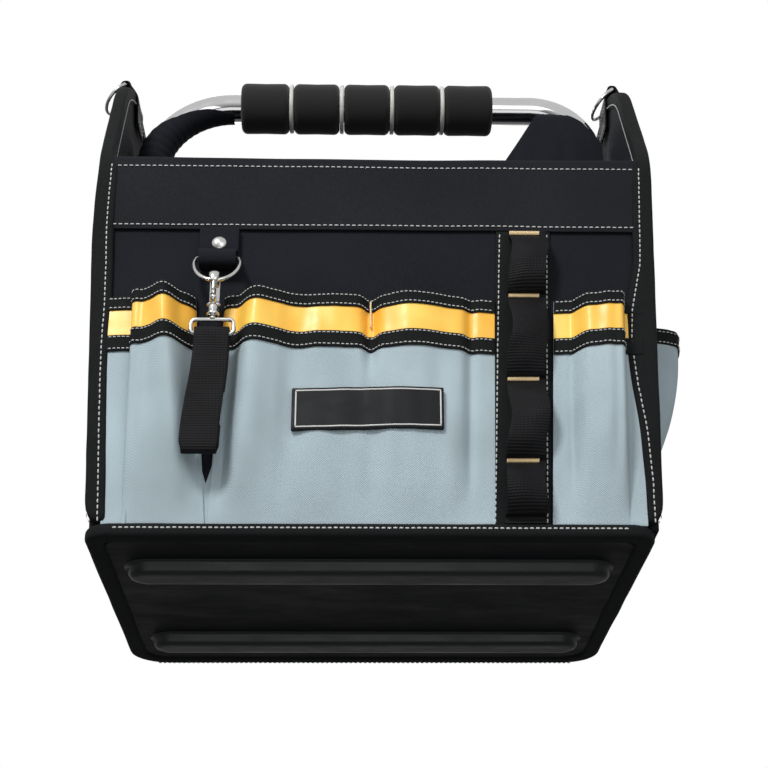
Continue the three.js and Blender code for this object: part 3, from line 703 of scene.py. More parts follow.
class Pocket:
    """A pocket's cloth over a wall. Columns are (place at the rim, place at the bottom seam, stand-out)."""

    def __init__(self, columns, bottom, wall, pin=None, creases=(), seed=0.0):
        self.bottom, self.wall, self.pin, self.creases, self.seed = bottom, wall, pin, creases, seed
        self.plan = spline([[v * MM for v in column] for column in columns], 240)

    def at(self, u, z, lift=0.0):
        """A point on the cloth's outer face at u across it, at height z, raised by lift."""
        rim, foot, depth = between_points(self.plan, u)
        share = (z - self.bottom) / (POCKET_RIM - self.bottom)
        across = foot + (rim - foot) * min(share, 1.0)
        full = math.sin(min(1.0, max(0.0, (z - self.bottom) / PUFF_HEIGHT)) * math.pi / 2)
        depth = max(depth, 0.0)
        if self.pin is not None:
            pull = smoothstep(POCKET_RIM - 64 * MM, POCKET_RIM - 26 * MM, z)
            depth *= 1 - pull * (0.9 * bell(across - self.pin, 4.2 * MM)
                                 + 0.3 * bell(across - self.pin, 15 * MM))
        crease = noise.noise(Vector((across * 45, self.seed, z * 9))) * 1.7 * MM
        crease += noise.noise(Vector((across * 110, self.seed + 5, z * 26))) * 0.6 * MM
        crease += sum(self.crease(across, z, *line) for line in self.creases)
        loose = smoothstep(0, 6 * MM, depth) * smoothstep(self.bottom, self.bottom + 25 * MM, z)
        depth = depth * full + crease * loose
        return self.wall(across, z, 0.3 * MM + SKIN + max(depth, 0.0) + lift)

    def crease(self, across, z, top, foot, height, deep, width):
        """A groove from its top place, at the rim, to its foot place, at the given height. All in mm."""
        share = (z / MM - height) / (POCKET_RIM / MM - height)
        if share < 0:
            return 0.0
        middle = (foot + (top - foot) * share) * MM
        return -deep * MM * bell(across - middle, width * MM) * smoothstep(0, 0.35, share)

    def u_at(self, across):
        """The u whose place at the rim is across."""
        rims = [p[0] for p in self.plan]
        return min(range(len(rims)), key=lambda i: abs(rims[i] - across)) / (len(rims) - 1)

    def row(self, z, lift, end=0.99):
        start = 0.01
        return [self.at(start + (end - start) * k / 120, z, lift) for k in range(121)]

    def strip(self, name, low, high, lift, thick, material, slot, side, replaces, across=160, up=4):
        def point(u, v):
            return self.at(u, low + (high - low) * v, lift)

        cloth(name, point, across, up, thick, material, slot, side=side, replaces=replaces)

    def skin(self, name, side, across, up):
        """The pocket's own cloth, from its bottom seam to its mouth."""
        self.strip(f"{name}_cloth", self.bottom - 1 * MM, POCKET_RIM - 0.5 * MM, 0, SKIN * 0.8, GREY,
                   "grey_fabric", side, (name,), across, up)

    def rim(self, name, low, lift, side, replaces):
        """Tape folded over the pocket's mouth."""
        top, inner = POCKET_RIM, -SKIN - lift
        path = [(lift, low), (lift, top - 4 * MM), (lift + 0.1 * MM, top - 1 * MM),
                (lift - 1.2 * MM, top + 0.7 * MM), (inner + 0.6 * MM, top - 0.8 * MM),
                (inner, top - 4 * MM), (inner, low + 1 * MM)]
        fine = spline(path, 16)

        def point(u, v):
            out, z = between_points(fine, v)
            return self.at(u, z, out)

        cloth(name, point, 160, 16, 0.9 * MM, BINDING, "webbing", side=side, replaces=replaces)


def pocket_stitches(name, rows):
    stitch_rows(f"{name}_stitches", rows, pitch=2.9 * MM, length=2.0 * MM, width=0.8 * MM)


# The right corner tape covers the right pocket's stitches beyond this x
SEWN_TO = 165 * MM


def build_taped_pocket(name, pocket, side):
    """Grey cloth, with an orange tape between two black bindings at its mouth."""
    pocket.skin(name, side, 200, 64)
    pocket.strip(f"{name}_orange", TAPE_BOTTOM - 2 * MM, TAPE_TOP + 2 * MM, 0.5 * MM, 0.5 * MM, ORANGE,
                 "orange_tape", side, (f"{name}_hivis_tape",), up=6)
    pocket.strip(f"{name}_lower_tape", LOWER_BOTTOM, TAPE_BOTTOM, 1.3 * MM, 1.1 * MM, BINDING, "webbing",
                 side, (f"{name}_lower_binding",))
    pocket.rim(f"{name}_rim_tape", TAPE_TOP, 1.3 * MM, side, (f"{name}_rim_binding",))
    end = pocket.u_at(SEWN_TO) if name == "front_pocket_right" else 0.99
    heights = (POCKET_RIM - 1.8 * MM, TAPE_TOP + 1.6 * MM, TAPE_BOTTOM - 1.6 * MM, LOWER_BOTTOM + 1.8 * MM)
    pocket_stitches(name, [(pocket.row(z, 1.4 * MM, end), (0, side, 0)) for z in heights])


LEFT_COLUMNS = [
    (-170.5, -163, 0), (-160, -156, 1.2), (-153, -150, 1.6), (-151.4, -149, 3.2), (-153, -150.4, 7.4),
    (-151.6, -149, 11.5), (-146, -145, 15.2), (-138, -138, 17.6), (-130, -130, 18.4),
    (-121, -117, 14.5), (-115.8, -107, 7), (-113.2, -101, 0.4),
]
CENTRE_COLUMNS = [
    (-94.4, -99, 0), (-92.6, -96.5, 3.6), (-88, -91, 7.6), (-80, -83, 13.2), (-71, -74, 15),
    (-60, -63, 12.4), (-49, -50, 8.8), (-25, -25, 9.6), (-8, -8, 10.2), (0, 0, 9.2), (12, 12, 12.6),
    (30, 29, 13), (47, 45, 11), (60, 57, 6.5), (70, 65, 2.2), (81, 75, 0),
]
RIGHT_COLUMNS = [
    (119.5, 110, 0), (127, 118, 1.2), (133, 124, 5.5), (141, 132, 13.5), (153, 145, 16.5),
    (160, 152.5, 16.6), (163.2, 156, 12.0), (164.2, 157, 5), (166, 158.6, 0.9), (171, 163, 0.3),
    (177, 168, 0),
]
BACK_COLUMNS = [
    (-150, -144, 0), (-145, -140, 7), (-136, -132, 15), (-105, -104, 20), (-60, -60, 18),
    (-26, -26, 10), (0, 0, 5), (26, 26, 10), (60, 60, 18), (105, 104, 20), (136, 132, 15),
    (145, 140, 7), (150, 144, 0),
]
RIGHT_SIDE_COLUMNS = [
    (-95, -88, 0), (-93.5, -87, 9), (-91, -84, 17.5), (-85, -79, 23), (-58, -55, 25.5), (0, 0, 26),
    (58, 55, 25.5), (85, 79, 23), (91, 84, 17.5), (93.5, 87, 9), (95, 88, 0),
]
LEFT_SIDE_COLUMNS = [
    (-90, -84, 0), (-78, -73, 4), (-50, -48, 9.5), (0, 0, 17), (40, 38, 20), (70, 66, 16), (84, 79, 8),
    (90, 84, 0),
]

# Grooves in the cloth: top place, foot place, foot height, depth, width
CREASES = {
    "front_pocket_left": ((-146, -146, 40, 2.2, 3.5), (-122, -104, 12, 5.0, 6.0),
                          (-133, -112, 12, -4.5, 8.0),
                          (-141, -140, 60, 2.0, 5.0)),
    "front_pocket_centre": ((66, 61, 22, 4.2, 4.5), (-84, -95, 12, 4.6, 5.0), (-72, -84, 12, -3.0, 8.0),
                            (52, 40, 60, 2.0, 9.0), (-40, -60, 30, 1.6, 10.0), (10, 18, 70, 1.5, 8.0)),
    "front_pocket_right": ((128, 122, 20, 4.0, 4.0), (146, 138, 60, 2.2, 7.0), (158, 150, 30, 2.0, 4.0)),
    "back_pocket": ((-118, -112, 30, 2.0, 6.0), (118, 112, 30, 2.0, 6.0)),
}


def build_pockets():
    plans = {
        "front_pocket_left": (LEFT_COLUMNS, front_face, -1, None, 1.3),
        "front_pocket_centre": (CENTRE_COLUMNS, front_face, -1, 0.0, 2.7),
        "front_pocket_right": (RIGHT_COLUMNS, front_face, -1, None, 4.1),
        "back_pocket": (BACK_COLUMNS, back_face, 1, 0.0, 6.9),
    }
    pockets = {}
    for name, (columns, wall, side, pin, seed) in plans.items():
        pockets[name] = Pocket(columns, POCKET_BOTTOM, wall, pin, CREASES[name], seed)
        build_taped_pocket(name, pockets[name], side)
    for name, sign, columns in (("left", -1, LEFT_SIDE_COLUMNS), ("right", 1, RIGHT_SIDE_COLUMNS)):
        def side_wall(across, z, lift):
            return side_face(across, z, lift, sign)

        pocket = Pocket(columns, SIDE_BOTTOM, side_wall, seed=8.3 + sign)
        node = f"{name}_side_pocket"
        pocket.skin(node, -sign, 160, 48)
        pocket.rim(f"{node}_rim_tape", POCKET_RIM - 11 * MM, 1.0 * MM, -sign, (f"{node}_binding",))
        heights = (POCKET_RIM - 1.8 * MM, POCKET_RIM - 9.4 * MM)
        pocket_stitches(node, [(pocket.row(z, 1.1 * MM), (sign, 0, 0)) for z in heights])
    return pockets


def build_gusset(left, centre):
    """The folded cloth low down between the left and centre pockets, with a crease down its middle."""
    top = 58 * MM

    def point(u, v):
        z = POCKET_BOTTOM - 1 * MM + (top - POCKET_BOTTOM) * v
        a, b = left.at(0.975, z), centre.at(0.02, z)
        x = a.x + (b.x - a.x) * u
        dip = 1 - abs(2 * u - 1)
        return front_face(x, z - 14 * MM * v * dip, (1.8 - 1.2 * dip) * MM)

    cloth("pocket_gusset", point, 10, 16, 1.0 * MM, GREY, "grey_fabric")


def build_pin(pocket):
    """The bar tack that pins the middle of the centre pocket's mouth to the panel."""
    u = pocket.u_at(0.0)
    path = [pocket.at(u, POCKET_RIM - (3 + 19 * k / 8) * MM, 1.8 * MM) for k in range(9)]
    make("centre_pin_tack", *sweep(path, circle(1.1 * MM, 8, 0.6), up=ACROSS), CREAM, "tack_thread")


# ---------------------------------------------------------------- tool loops and label

LADDER_X, LADDER_Z, LADDER_LEAN = 91 * MM, 18 * MM, 0.054
LADDER_HALF = 18 * MM
BARS = [19 * MM, 57.3 * MM, 114.3 * MM, 175.4 * MM, 223.4 * MM]
LOOP_HALF, LOOP_SHIFT, LOOP_STAND = 12.5 * MM, 2.5 * MM, 13 * MM


def ladder_x(z):
    return LADDER_X + LADDER_LEAN * (z - LADDER_Z)


# One loop's shape: how far it stands out, in mm, and how far up it is, as a share of its span
LOOP_SHAPE = ((0, 0.015), (4.6, 0.05), (10.66, 0.20), (13, 0.42), (11.7, 0.66), (5.85, 0.86), (0.8, 0.95),
              (0, 0.98))


def loop_run():
    """The webbing's outer face in (out from the backing, z), from its lowest bar up."""
    run = [(0, BARS[0] - 3 * MM)]
    for low, high in zip(BARS, BARS[1:]):
        run += [(out * MM, low + (high - low) * up) for out, up in LOOP_SHAPE]
    run += [(0, BARS[-1]), (0, BAND_BOTTOM - 0.5 * MM)]
    return spline(run, 180)


def build_tool_loops():
    def backing(u, v):
        z = WALL_LOW - 1 * MM + (BAND_BOTTOM + 1 * MM - WALL_LOW) * v
        return front_face(ladder_x(z) + (2 * u - 1) * LADDER_HALF, z, 1.7 * MM)

    cloth("loop_backing_strip", backing, 12, 60, 1.4 * MM, BINDING, "webbing",
          replaces=("tool_loop_backing",))
    run = loop_run()

    def loops(u, v):
        out, z = between_points(run, v)
        bow = 1 - 0.10 * (2 * u - 1) ** 2 + 0.2 * (2 * u - 1) * math.sin(z * 70 + 1)
        x = ladder_x(z) + LOOP_SHIFT + (2 * u - 1) * LOOP_HALF * (1 - 0.05 * out / LOOP_STAND)
        x += (1.6 * MM * math.sin(z * 95) + wobble(z, 4, u * 0.02, 0.02, 1.2 * MM)) * out / LOOP_STAND
        out += wobble(u * 0.02, z, 6, 0.012, 1.2 * MM) * out / LOOP_STAND
        return front_face(x, z, 3.4 * MM + out * bow)

    cloth("loop_webbing_strip", loops, 12, len(run) - 1, 1.5 * MM, WEBBING, "webbing",
          replaces=("tool_loop_webbing",))
    rows = []
    for sign in (-1, 1):
        path = []
        for k in range(61):
            z = WALL_LOW + (BAND_BOTTOM - 2 * MM - WALL_LOW) * k / 60
            path.append(front_face(ladder_x(z) + sign * (LADDER_HALF - 2.2 * MM), z, 1.8 * MM))
        rows.append((path, (0, -1, 0)))
    stitch_rows("loop_backing_stitches", rows)
    for k, z in enumerate(BARS[1:]):
        bar_tack(f"loop_bar_tack_{k + 1}", ladder_x(z) + 0.6 * MM, z, 20 * MM)


def bar_tack(name, x, z, length):
    """A dense bar of zigzag thread across a webbing."""
    parts = []
    steps = 26
    for height in (z - 0.55 * MM, z + 0.55 * MM):
        path = [front_face(x + length * (k / steps - 0.5), height, 3.75 * MM) for k in range(steps + 1)]
        parts.append(sweep(path, circle(0.62 * MM, 8, 0.6), up=-BACKWARD))
    for k in range(steps):
        at = x + length * ((k + 0.5) / steps - 0.5)
        path = [front_face(at + step * 0.3 * MM, z + step * 1.5 * MM, (4.35 - 0.65 * abs(step)) * MM)
                for step in (-1, 0, 1)]
        parts.append(sweep(path, circle(0.32 * MM, 6), up=ACROSS))
    make(name, *merged(parts), CREAM, "tack_thread")


def build_patch(pocket):
    """A blank moulded patch with a thin raised edge, sewn to the centre pocket, lower than its CAD node."""
    low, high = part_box("label_patch")
    u0, u1 = pocket.u_at(low.x + 0.6 * MM), pocket.u_at(high.x - 0.6 * MM)
    bottom, height = low.z - 4.5 * MM, high.z - low.z

    def flat(u, v, lift):
        """The patch is stiffer than the cloth, so it takes only its slow curve."""
        z = bottom + height * v
        spots = [pocket.at(u0 + (u1 - u0) * min(1, max(0, u + du)), z + dz, lift)
                 for du in (-0.12, 0, 0.12) for dz in (-8 * MM, 0, 8 * MM)]
        here = pocket.at(u0 + (u1 - u0) * u, z, lift)
        here.y = sum(spot.y for spot in spots) / len(spots) - 1.2 * MM
        return here

    def point(u, v):
        return flat(u, v, 1.6 * MM)

    cloth("blank_patch", point, 40, 14, 3.4 * MM, PATCH_RUBBER, "rubber", replaces=("label_patch",))
    corners = ((0.022, 0.07), (0.978, 0.07), (0.978, 0.93), (0.022, 0.93))
    path = []
    for (ua, va), (ub, vb) in zip(corners, corners[1:] + corners[:1]):
        path += [flat(ua + (ub - ua) * k / 24, va + (vb - va) * k / 24, 1.75 * MM) for k in range(24)]
    make("blank_patch_edge", *sweep(path, circle(0.5 * MM, 8, 0.7), closed=True, up=-BACKWARD), PALE,
         "grey_plastic")


# ---------------------------------------------------------------- base


FRONT_CORNER, REAR_CORNER = 10 * MM, 20 * MM


def rounded_ring(half_x, half_y, size, z):
    """A rounded rectangle at height z. Its corners shrink with size, from 1 down to 0.2."""
    front, rear = FRONT_CORNER * max(size, 0.2), REAR_CORNER * max(size, 0.2)
    outline = rounded(-half_x * size, half_x * size, -half_y * size, half_y * size, front, 10, rear)
    return [Vector((x, y, z)) for x, y in outline]


def stadium(half_length, half_across, y, z):
    """A bar with round ends, along x, at height z."""
    straight = half_length - half_across
    points = []
    for sign, start in ((1, -90), (-1, 90)):
        for k in range(15):
            a = math.radians(start + 180 * k / 14)
            x = sign * straight + half_across * math.cos(a)
            points.append(Vector((x, y + half_across * math.sin(a), z)))
    return points


# The foot rails' profile: how far out from the rail's edge, and the height, in mm
RAIL_PROFILE = ((2.6, 8.0), (2.2, 7.7), (0.7, 7.1), (0.0, 5.6), (-0.6, 2.8), (-2.0, 1.0), (-4.2, 0.15),
                (-6.4, 0.0), (-9, 0.0))


def build_base():
    levels = ((0.05, BASE_HIGH.z), (0.5, BASE_HIGH.z), (1.0, BASE_HIGH.z), (1.012, BASE_LOW.z + 2 * MM),
              (1.0, BASE_LOW.z), (0.9, BASE_LOW.z), (0.5, BASE_LOW.z), (0.05, BASE_LOW.z))
    rings = [rounded_ring(BASE_HIGH.x, BASE_HIGH.y, size, z) for size, z in levels]
    make("base_skin", *outward(*loft(rings)), RUBBER, "rubber", replaces=("base_cover",), smooth=False)
    for name in ("foot_rail_front", "foot_rail_rear"):
        low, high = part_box(name)
        length, width, y = (high.x - low.x) / 2, (high.y - low.y) / 2, (low.y + high.y) / 2
        rings = [stadium(length + out * MM, width + out * MM, y, z * MM) for out, z in RAIL_PROFILE]
        make(f"{name}_rib", *outward(*loft(rings)), RAIL_RUBBER_PAINTED_SHINE, "rubber", replaces=(name,))
    build_welt_roll()
    build_welt_stitches()
    low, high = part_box("base_board")
    levels = ((0.05, low.z), (1.0, low.z), (1.003, (low.z + high.z) / 2), (1.0, high.z), (0.05, high.z))
    rings = [rounded_ring(high.x, high.y, size, z) for size, z in levels]
    make("floor_board", *outward(*loft(rings)), BOARD, "board", replaces=("base_board",), smooth=False)


def build_welt_roll():
    """The rolled seam round the base, a little uneven along its length."""
    centre_x, centre_y = WELT_HIGH.x - 6.5 * MM, WELT_HIGH.y - 6.5 * MM
    z = WELT_HIGH.z - 4.4 * MM
    outline = rounded(-centre_x, centre_x, -centre_y, centre_y, FRONT_CORNER, 10, REAR_CORNER)
    corners = [Vector((x, y, z)) for x, y in outline]
    path = []
    for a, b in zip(corners, corners[1:] + corners[:1]):
        steps = max(1, int((b - a).length / (8 * MM)))
        path += [a.lerp(b, k / steps) for k in range(steps)]
    section = []
    for spot in path:
        swell = 1 + wobble(spot.x, spot.y, 0, 0.03, 0.05)
        roll = rounded(-6.4 * MM, 6.4 * MM, -4.6 * MM, 4.4 * MM, 3.2 * MM, 5)
        section.append([(a * swell, b * swell) for a, b in roll])
    make("base_welt_roll", *sweep(path, section, closed=True), BINDING, "black_fabric",
         replaces=("base_welt",))


def build_welt_stitches():
    out_x, out_y, z = WELT_HIGH.x - 0.1 * MM, WELT_HIGH.y - 0.1 * MM, WELT_HIGH.z - 3.6 * MM
    reach_x, reach_y = out_x - 18 * MM, out_y - 18 * MM
    under = WELT_LOW.z - 1.3 * MM
    shares = [k / 30 - 1 for k in range(61)]
    rows = [([Vector((reach_x * share, out_y - 4.5 * MM, under)) for share in shares], (0, 0, -1))]
    for sign in (-1, 1):
        rows.append(([Vector((reach_x * share, sign * out_y, z)) for share in shares], (0, sign, 0)))
        rows.append(([Vector((sign * out_x, reach_y * share, z)) for share in shares], (sign, 0, 0)))
    stitch_rows("welt_stitches", rows, pitch=3.6 * MM, length=2.5 * MM, width=1.1 * MM)


# ---------------------------------------------------------------- hanging snap hook


def wire_ring(half, height):
    """The path of a D-shaped wire ring in (side, up) pairs, from its straight bar."""
    corner = 3 * MM
    straight = half - corner
    path = [(straight, 0), (half - corner * 0.3, -corner * 0.3)]
    for k in range(25):
        a = math.radians(-180 * k / 24)
        path.append((half * math.cos(a), -6 * MM + (height - 6 * MM) * math.sin(a)))
    path.append((-half + corner * 0.3, -corner * 0.3))
    path += [(straight * (k / 4 - 1), 0) for k in range(8)]
    return path


def build_hook():
    low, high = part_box("d_ring")
    pivot, hang = JOINTS["d_ring_swing"], JOINTS["snap_hook_swing"]
    down = (hang - pivot).normalized()
    wire = 1.45 * MM
    half = (high.x - low.x) / 2 - wire
    path = [pivot + ACROSS * a - down * b for a, b in wire_ring(half, (hang - pivot).length)]
    make("hook_d_ring", *sweep(path, circle(wire, 14), closed=True, up=BACKWARD), NICKEL, "nickel",
         body="d_ring", replaces=("d_ring",))
    build_tab(pivot)
    build_snap(hang)
    build_gate()
    build_eye(hang.y)
    build_hanging_strap(hang.y)


def build_tab(pivot):
    """The strap that holds the D-ring: doubled, folded round its bar, with a domed rivet."""
    low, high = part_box("hook_tab")
    half, centre = (high.x - low.x) / 2, (high.x + low.x) / 2
    back, out, bar = high.y, pivot.y, pivot.z
    run = [(back - 3.0 * MM, high.z), (back - 3.1 * MM, bar + 12 * MM), (back - 3.6 * MM, bar + 7 * MM),
           (out - 2.4 * MM, bar + 4.2 * MM), (out - 4.0 * MM, bar + 0.4 * MM),
           (out - 2.6 * MM, bar - 3.6 * MM), (out + 1.0 * MM, bar - 4.4 * MM),
           (back - 1.4 * MM, bar - 2.6 * MM), (back - 1.2 * MM, bar + 8 * MM), (back - 1.2 * MM, high.z)]
    fine = spline(run, 48)

    def point(u, v):
        y, z = between_points(fine, v)
        taper = 1 - 0.06 * smoothstep(bar + 8 * MM, bar, z)
        return Vector((centre + (2 * u - 1) * half * taper, y, z))

    cloth("hook_tab_strap", point, 10, 48, 1.5 * MM, BLACK, "black_fabric", replaces=("hook_tab",))
    low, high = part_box("hook_rivet")
    radius, face = (high.x - low.x) / 2, back - 3.1 * MM
    profile = [(high.y, 0), (high.y, 1.7 * MM), (face, 1.7 * MM)]
    dome = ((0, 1), (0.5, 1), (1.1, 0.93), (1.9, 0.74), (2.5, 0.45))
    profile += [(face - rise * MM, radius * share) for rise, share in dome]
    profile.append((low.y, 0))
    head = turned(profile, "y", (centre, 0, (low.z + high.z) / 2), 36)
    make("hook_rivet_dome", *head, NICKEL, "nickel", replaces=("hook_rivet",))


def build_snap(hang):
    """The cast hook: a round jaw over the D-ring, a knuckle for the gate and a barrel below."""
    low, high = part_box("snap_hook")
    x, y = (low.x + high.x) / 2, (low.y + high.y) / 2
    mid = (high.y - low.y) / 2 - 1.65 * MM
    crown, nose, seat, shoulder = high.z - 1.7 * MM, hang.z - 3.4 * MM, hang.z - 14 * MM, low.z + 7.6 * MM
    run = [(-mid - 0.1 * MM, nose), (-mid, nose + 2.6 * MM), (-mid * 0.72, crown - 1.6 * MM), (0, crown),
           (mid * 0.74, crown - 1.6 * MM), (mid, nose + 2.6 * MM), (mid, nose - 3 * MM),
           (mid * 0.98, seat + 1 * MM), (mid * 0.72, seat - 1.4 * MM), (0.4 * MM, shoulder + 0.6 * MM)]
    widening = 2.1
    sections = []
    for k in range(45):
        t = k / 44
        grow = 0.72 + 0.4 * smoothstep(0, 0.25, t) + 0.25 * smoothstep(0.8, 1.0, t)
        sections.append([(a, b * widening) for a, b in circle(1.55 * MM * grow, 14)])
    jaw = sweep([(x, y + a, z) for a, z in spline(run, 44)], sections, up=ACROSS)
    pin = [(-mid - 0.4 * MM, seat + 0.1 * MM), (-mid * 0.6, seat - 1.6 * MM), (0, shoulder + 0.8 * MM)]
    knuckle = sweep([(x, y + a, z) for a, z in pin], circle(2.0 * MM, 14), up=ACROSS)
    shape = ((0, 1.95), (0, 3.4), (0.5, 3.9), (2.0, 4.0), (2.5, 3.5), (5.4, 3.5), (7.4, 3.0), (9.2, 1.4),
             (9.4, 0))
    profile = [(low.z + up * MM, radius * MM) for up, radius in shape]
    barrel = turned(profile, "z", (x, y, 0), 24)
    make("snap_hook_body", *merged([jaw, knuckle, barrel]), NICKEL, "nickel", body="snap_hook",
         replaces=("snap_hook",))


def build_gate():
    """The sprung lever at the hook's mouth, with a small stud for the thumb."""
    x = sum(corner.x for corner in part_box("snap_hook")) / 2
    low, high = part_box("hook_gate")
    y = (low.y + high.y) / 2
    spine = [(x, y - 0.2 * MM, low.z + 0.2 * MM), (x, y - 0.5 * MM, low.z + 3 * MM),
             (x, y - 0.3 * MM, high.z - 3 * MM), (x, y, high.z - 0.1 * MM)]
    bar = sweep(spline(spine, 12), circle(1.25 * MM, 12), up=ACROSS)
    shape = ((-2.6, 0), (-2.5, 0.8), (-1.6, 1.15), (-0.4, 0.9), (0, 0.7))
    thumb = turned([(a * MM, r * MM) for a, r in shape], "y", (x, y, low.z + 3.4 * MM), 14)
    make("hook_gate_lever", *merged([bar, thumb]), NICKEL, "nickel", body="hook_gate",
         replaces=("hook_gate",))


EYE_WIRE = 1.4 * MM


def build_eye(y):
    """The swivel eye: a wire loop under the barrel, on a stem that turns in it."""
    low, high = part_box("swivel_eye")
    x, half = (low.x + high.x) / 2, (high.x - low.x) / 2 - EYE_WIRE
    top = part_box("snap_hook")[0].z - 1.3 * MM - EYE_WIRE
    outline = rounded(-half, half, low.z + EYE_WIRE, top, 3.2 * MM, 6)
    path = [Vector((x + a, y, z)) for a, z in outline]
    ring = sweep(path, circle(EYE_WIRE, 14), closed=True, up=BACKWARD)
    shape = ((-0.4, 0), (0, 2.1), (0.8, 2.6), (1.5, 2.0), (2.2, 1.5))
    profile = [(top + up * MM, radius * MM) for up, radius in shape]
    profile += [(high.z - 0.2 * MM, 1.5 * MM), (high.z, 0)]
    stem = turned(profile, "z", (x, y, 0), 20)
    make("swivel_eye_ring", *merged([ring, stem]), NICKEL, "nickel", body="swivel_eye",
         replaces=("swivel_eye",))


def build_hanging_strap(y):
    """A loop of webbing folded over the eye's lower bar. It leans a little to the left at its foot."""
    eye_low, eye_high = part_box("swivel_eye")
    low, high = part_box("hanging_strap")
    x, half = (eye_low.x + eye_high.x) / 2, (high.x - low.x) / 2
    bar, bottom = eye_low.z + EYE_WIRE, low.z + 0.9 * MM
    out = (high.y - low.y) / 2 - 0.9 * MM
    run = [(out * 0.62, bar - 40 * MM), (out * 0.72, bar - 12 * MM), (out * 0.95, bar - 2 * MM),
           (out * 0.7, bar + 2.6 * MM), (0, high.z - 0.9 * MM), (-out * 0.7, bar + 2.6 * MM),
           (-out * 0.95, bar - 2 * MM), (-out * 0.72, bar - 12 * MM), (-out * 0.78, bar - 30 * MM),
           (-out * 0.92, bar - 55 * MM), (-out * 0.95, bottom + 6 * MM), (-out * 0.5, bottom),
           (out * 0.4, bottom), (out * 0.9, bottom + 5 * MM), (out * 0.8, bar - 62 * MM)]
    fine = spline(run, 90)

    def point(u, v):
        dy, z = between_points(fine, v)
        drop = (bar - z) / (bar - bottom)
        width = 0.94 + 0.07 * smoothstep(0, 0.9, drop) - 0.10 * smoothstep(0.93, 1.0, drop)
        lean = -4.5 * MM * smoothstep(0.05, 1.0, drop) + wobble(0, 5, z, 0.03, 0.5 * MM)
        return Vector((x + lean + (2 * u - 1) * half * width, y + dy, z))

    cloth("hanging_strap_web", point, 12, 90, 1.6 * MM, WEBBING, "webbing", side=0, body="hanging_strap",
          replaces=("hanging_strap",))


# ---------------------------------------------------------------- handle


# The handle's legs: x at the foot and at the start of the bend, and the bend's radius
LEFT_LEG, RIGHT_LEG = (-167 * MM, -168 * MM, 62 * MM), (172 * MM, 176 * MM, 46 * MM)


def leg_path(leg, foot_z, top):
    """The tube's centre line from a foot, up the leg and round its bend."""
    foot, x, bend = leg
    inward = -math.copysign(1, x)
    low = top - bend
    path = [Vector((foot + (x - foot) * k / 10, 0, foot_z + (low - foot_z) * k / 10)) for k in range(10)]
    for k in range(25):
        a = math.radians(90 * k / 24)
        path.append(Vector((x + inward * bend * (1 - math.cos(a)), 0, low + bend * math.sin(a))))
    return path


def hoop(profile, z, count):
    """A hollow body turned about the tube's centre line, from the (x, radius) pairs round its section."""
    turns = [math.tau * i / count for i in range(count)]
    rings = [[Vector((x, r * math.cos(t), z + r * math.sin(t))) for t in turns] for x, r in profile]
    return outward(*loft(rings, closed=True))


def build_handle():
    low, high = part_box("handle_tube")
    radius = (high.y - low.y) / 2
    top = high.z - radius
    left = leg_path(LEFT_LEG, low.z, top)
    right = leg_path(RIGHT_LEG, low.z, top)[::-1]
    tube = sweep(left + right, circle(radius, 40), up=BACKWARD)
    make("handle_tube_chrome", *tube, CHROME, "chrome", replaces=("handle_tube",))
    core_low, core_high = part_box("grip_core")
    rim = (core_high.z - core_low.z) / 2
    pitch = (core_high.x - core_low.x) / 5
    section = ((-1.6, radius + 0.6 * MM), (-1.6, rim - 0.7 * MM), (-1.0, rim), (1.0, rim),
               (1.6, rim - 0.7 * MM), (1.6, radius + 0.6 * MM))
    collars = [hoop([(k * pitch + a * MM, r) for a, r in section], top, 48) for k in (-1.5, -0.5, 0.5, 1.5)]
    make("grip_collars", *merged(collars), COLLAR, "grey_plastic", replaces=("grip_core",))
    for k in range(1, 6):
        build_foam_pad(k, radius + 0.4 * MM, top)
    build_sleeve_and_reflection_strip(radius, left)
    build_flap()


def build_foam_pad(k, bore, top):
    """One ring of foam with round shoulders and a slightly fuller middle."""
    low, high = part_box(f"grip_foam_{k}")
    full = (high.z - low.z) / 2
    bend = 4.5 * MM
    turns = [math.radians(90 * i / 7) for i in range(8)]
    shoulder = [(bend * (1 - math.cos(t)), full - bend + bend * math.sin(t)) for t in turns]
    section = [(low.x, bore)]
    section += [(low.x + a, r) for a, r in shoulder]
    section += [(low.x + (high.x - low.x) * t, full - 0.25 * MM * math.cos(math.tau * (t - 0.5)))
                for t in (0.3, 0.5, 0.7)]
    section += [(high.x - a, r) for a, r in shoulder[::-1]]
    section.append((high.x, bore))
    piece = make(f"grip_foam_pad_{k}", *hoop(section, top, 56), FOAM, "foam", replaces=(f"grip_foam_{k}",))


# How far round the tube the sleeve reaches to each side of its underside, in degrees, along its length.
# Where it narrows along the bend it is a dark strip on the tube's underside: a painted reflection of the
# bag in the chrome.
SLEEVE_AND_STRIP_REACH = ((0, 176), (0.33, 174), (0.40, 140), (0.571, 92), (0.81, 64), (0.95, 40), (1, 36))


def build_sleeve_and_reflection_strip(radius, leg):
    """A cloth sleeve drawn up the left leg. It carries on along the underside of the bend as a black strip
    that stands in for the chrome's dark reflection there: a painted reflection.
    """
    low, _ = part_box("left_handle_sleeve")
    start = next(k for k, p in enumerate(leg) if p.z >= low.z)
    path = [Vector(p) for p in spline(leg[start:], 90)]

    def wrap(u, v):
        k = int(round(v * 90))
        ahead = (path[min(k + 1, 90)] - path[max(k - 1, 0)]).normalized()
        out = BACKWARD.cross(ahead)
        angle = math.radians((2 * u - 1) * float(np.interp(k / 90, *zip(*SLEEVE_AND_STRIP_REACH))))
        loose = radius + (0.8 + 0.7 * math.sin(k * 0.55) ** 2 * (1 - k / 90)) * MM
        return path[k] + (out * math.cos(angle) - BACKWARD * math.sin(angle)) * loose

    cloth("left_leg_sleeve_and_painted_reflection", wrap, 48, 90, 1.0 * MM, BLACK, "black_fabric",
          replaces=("left_handle_sleeve",))


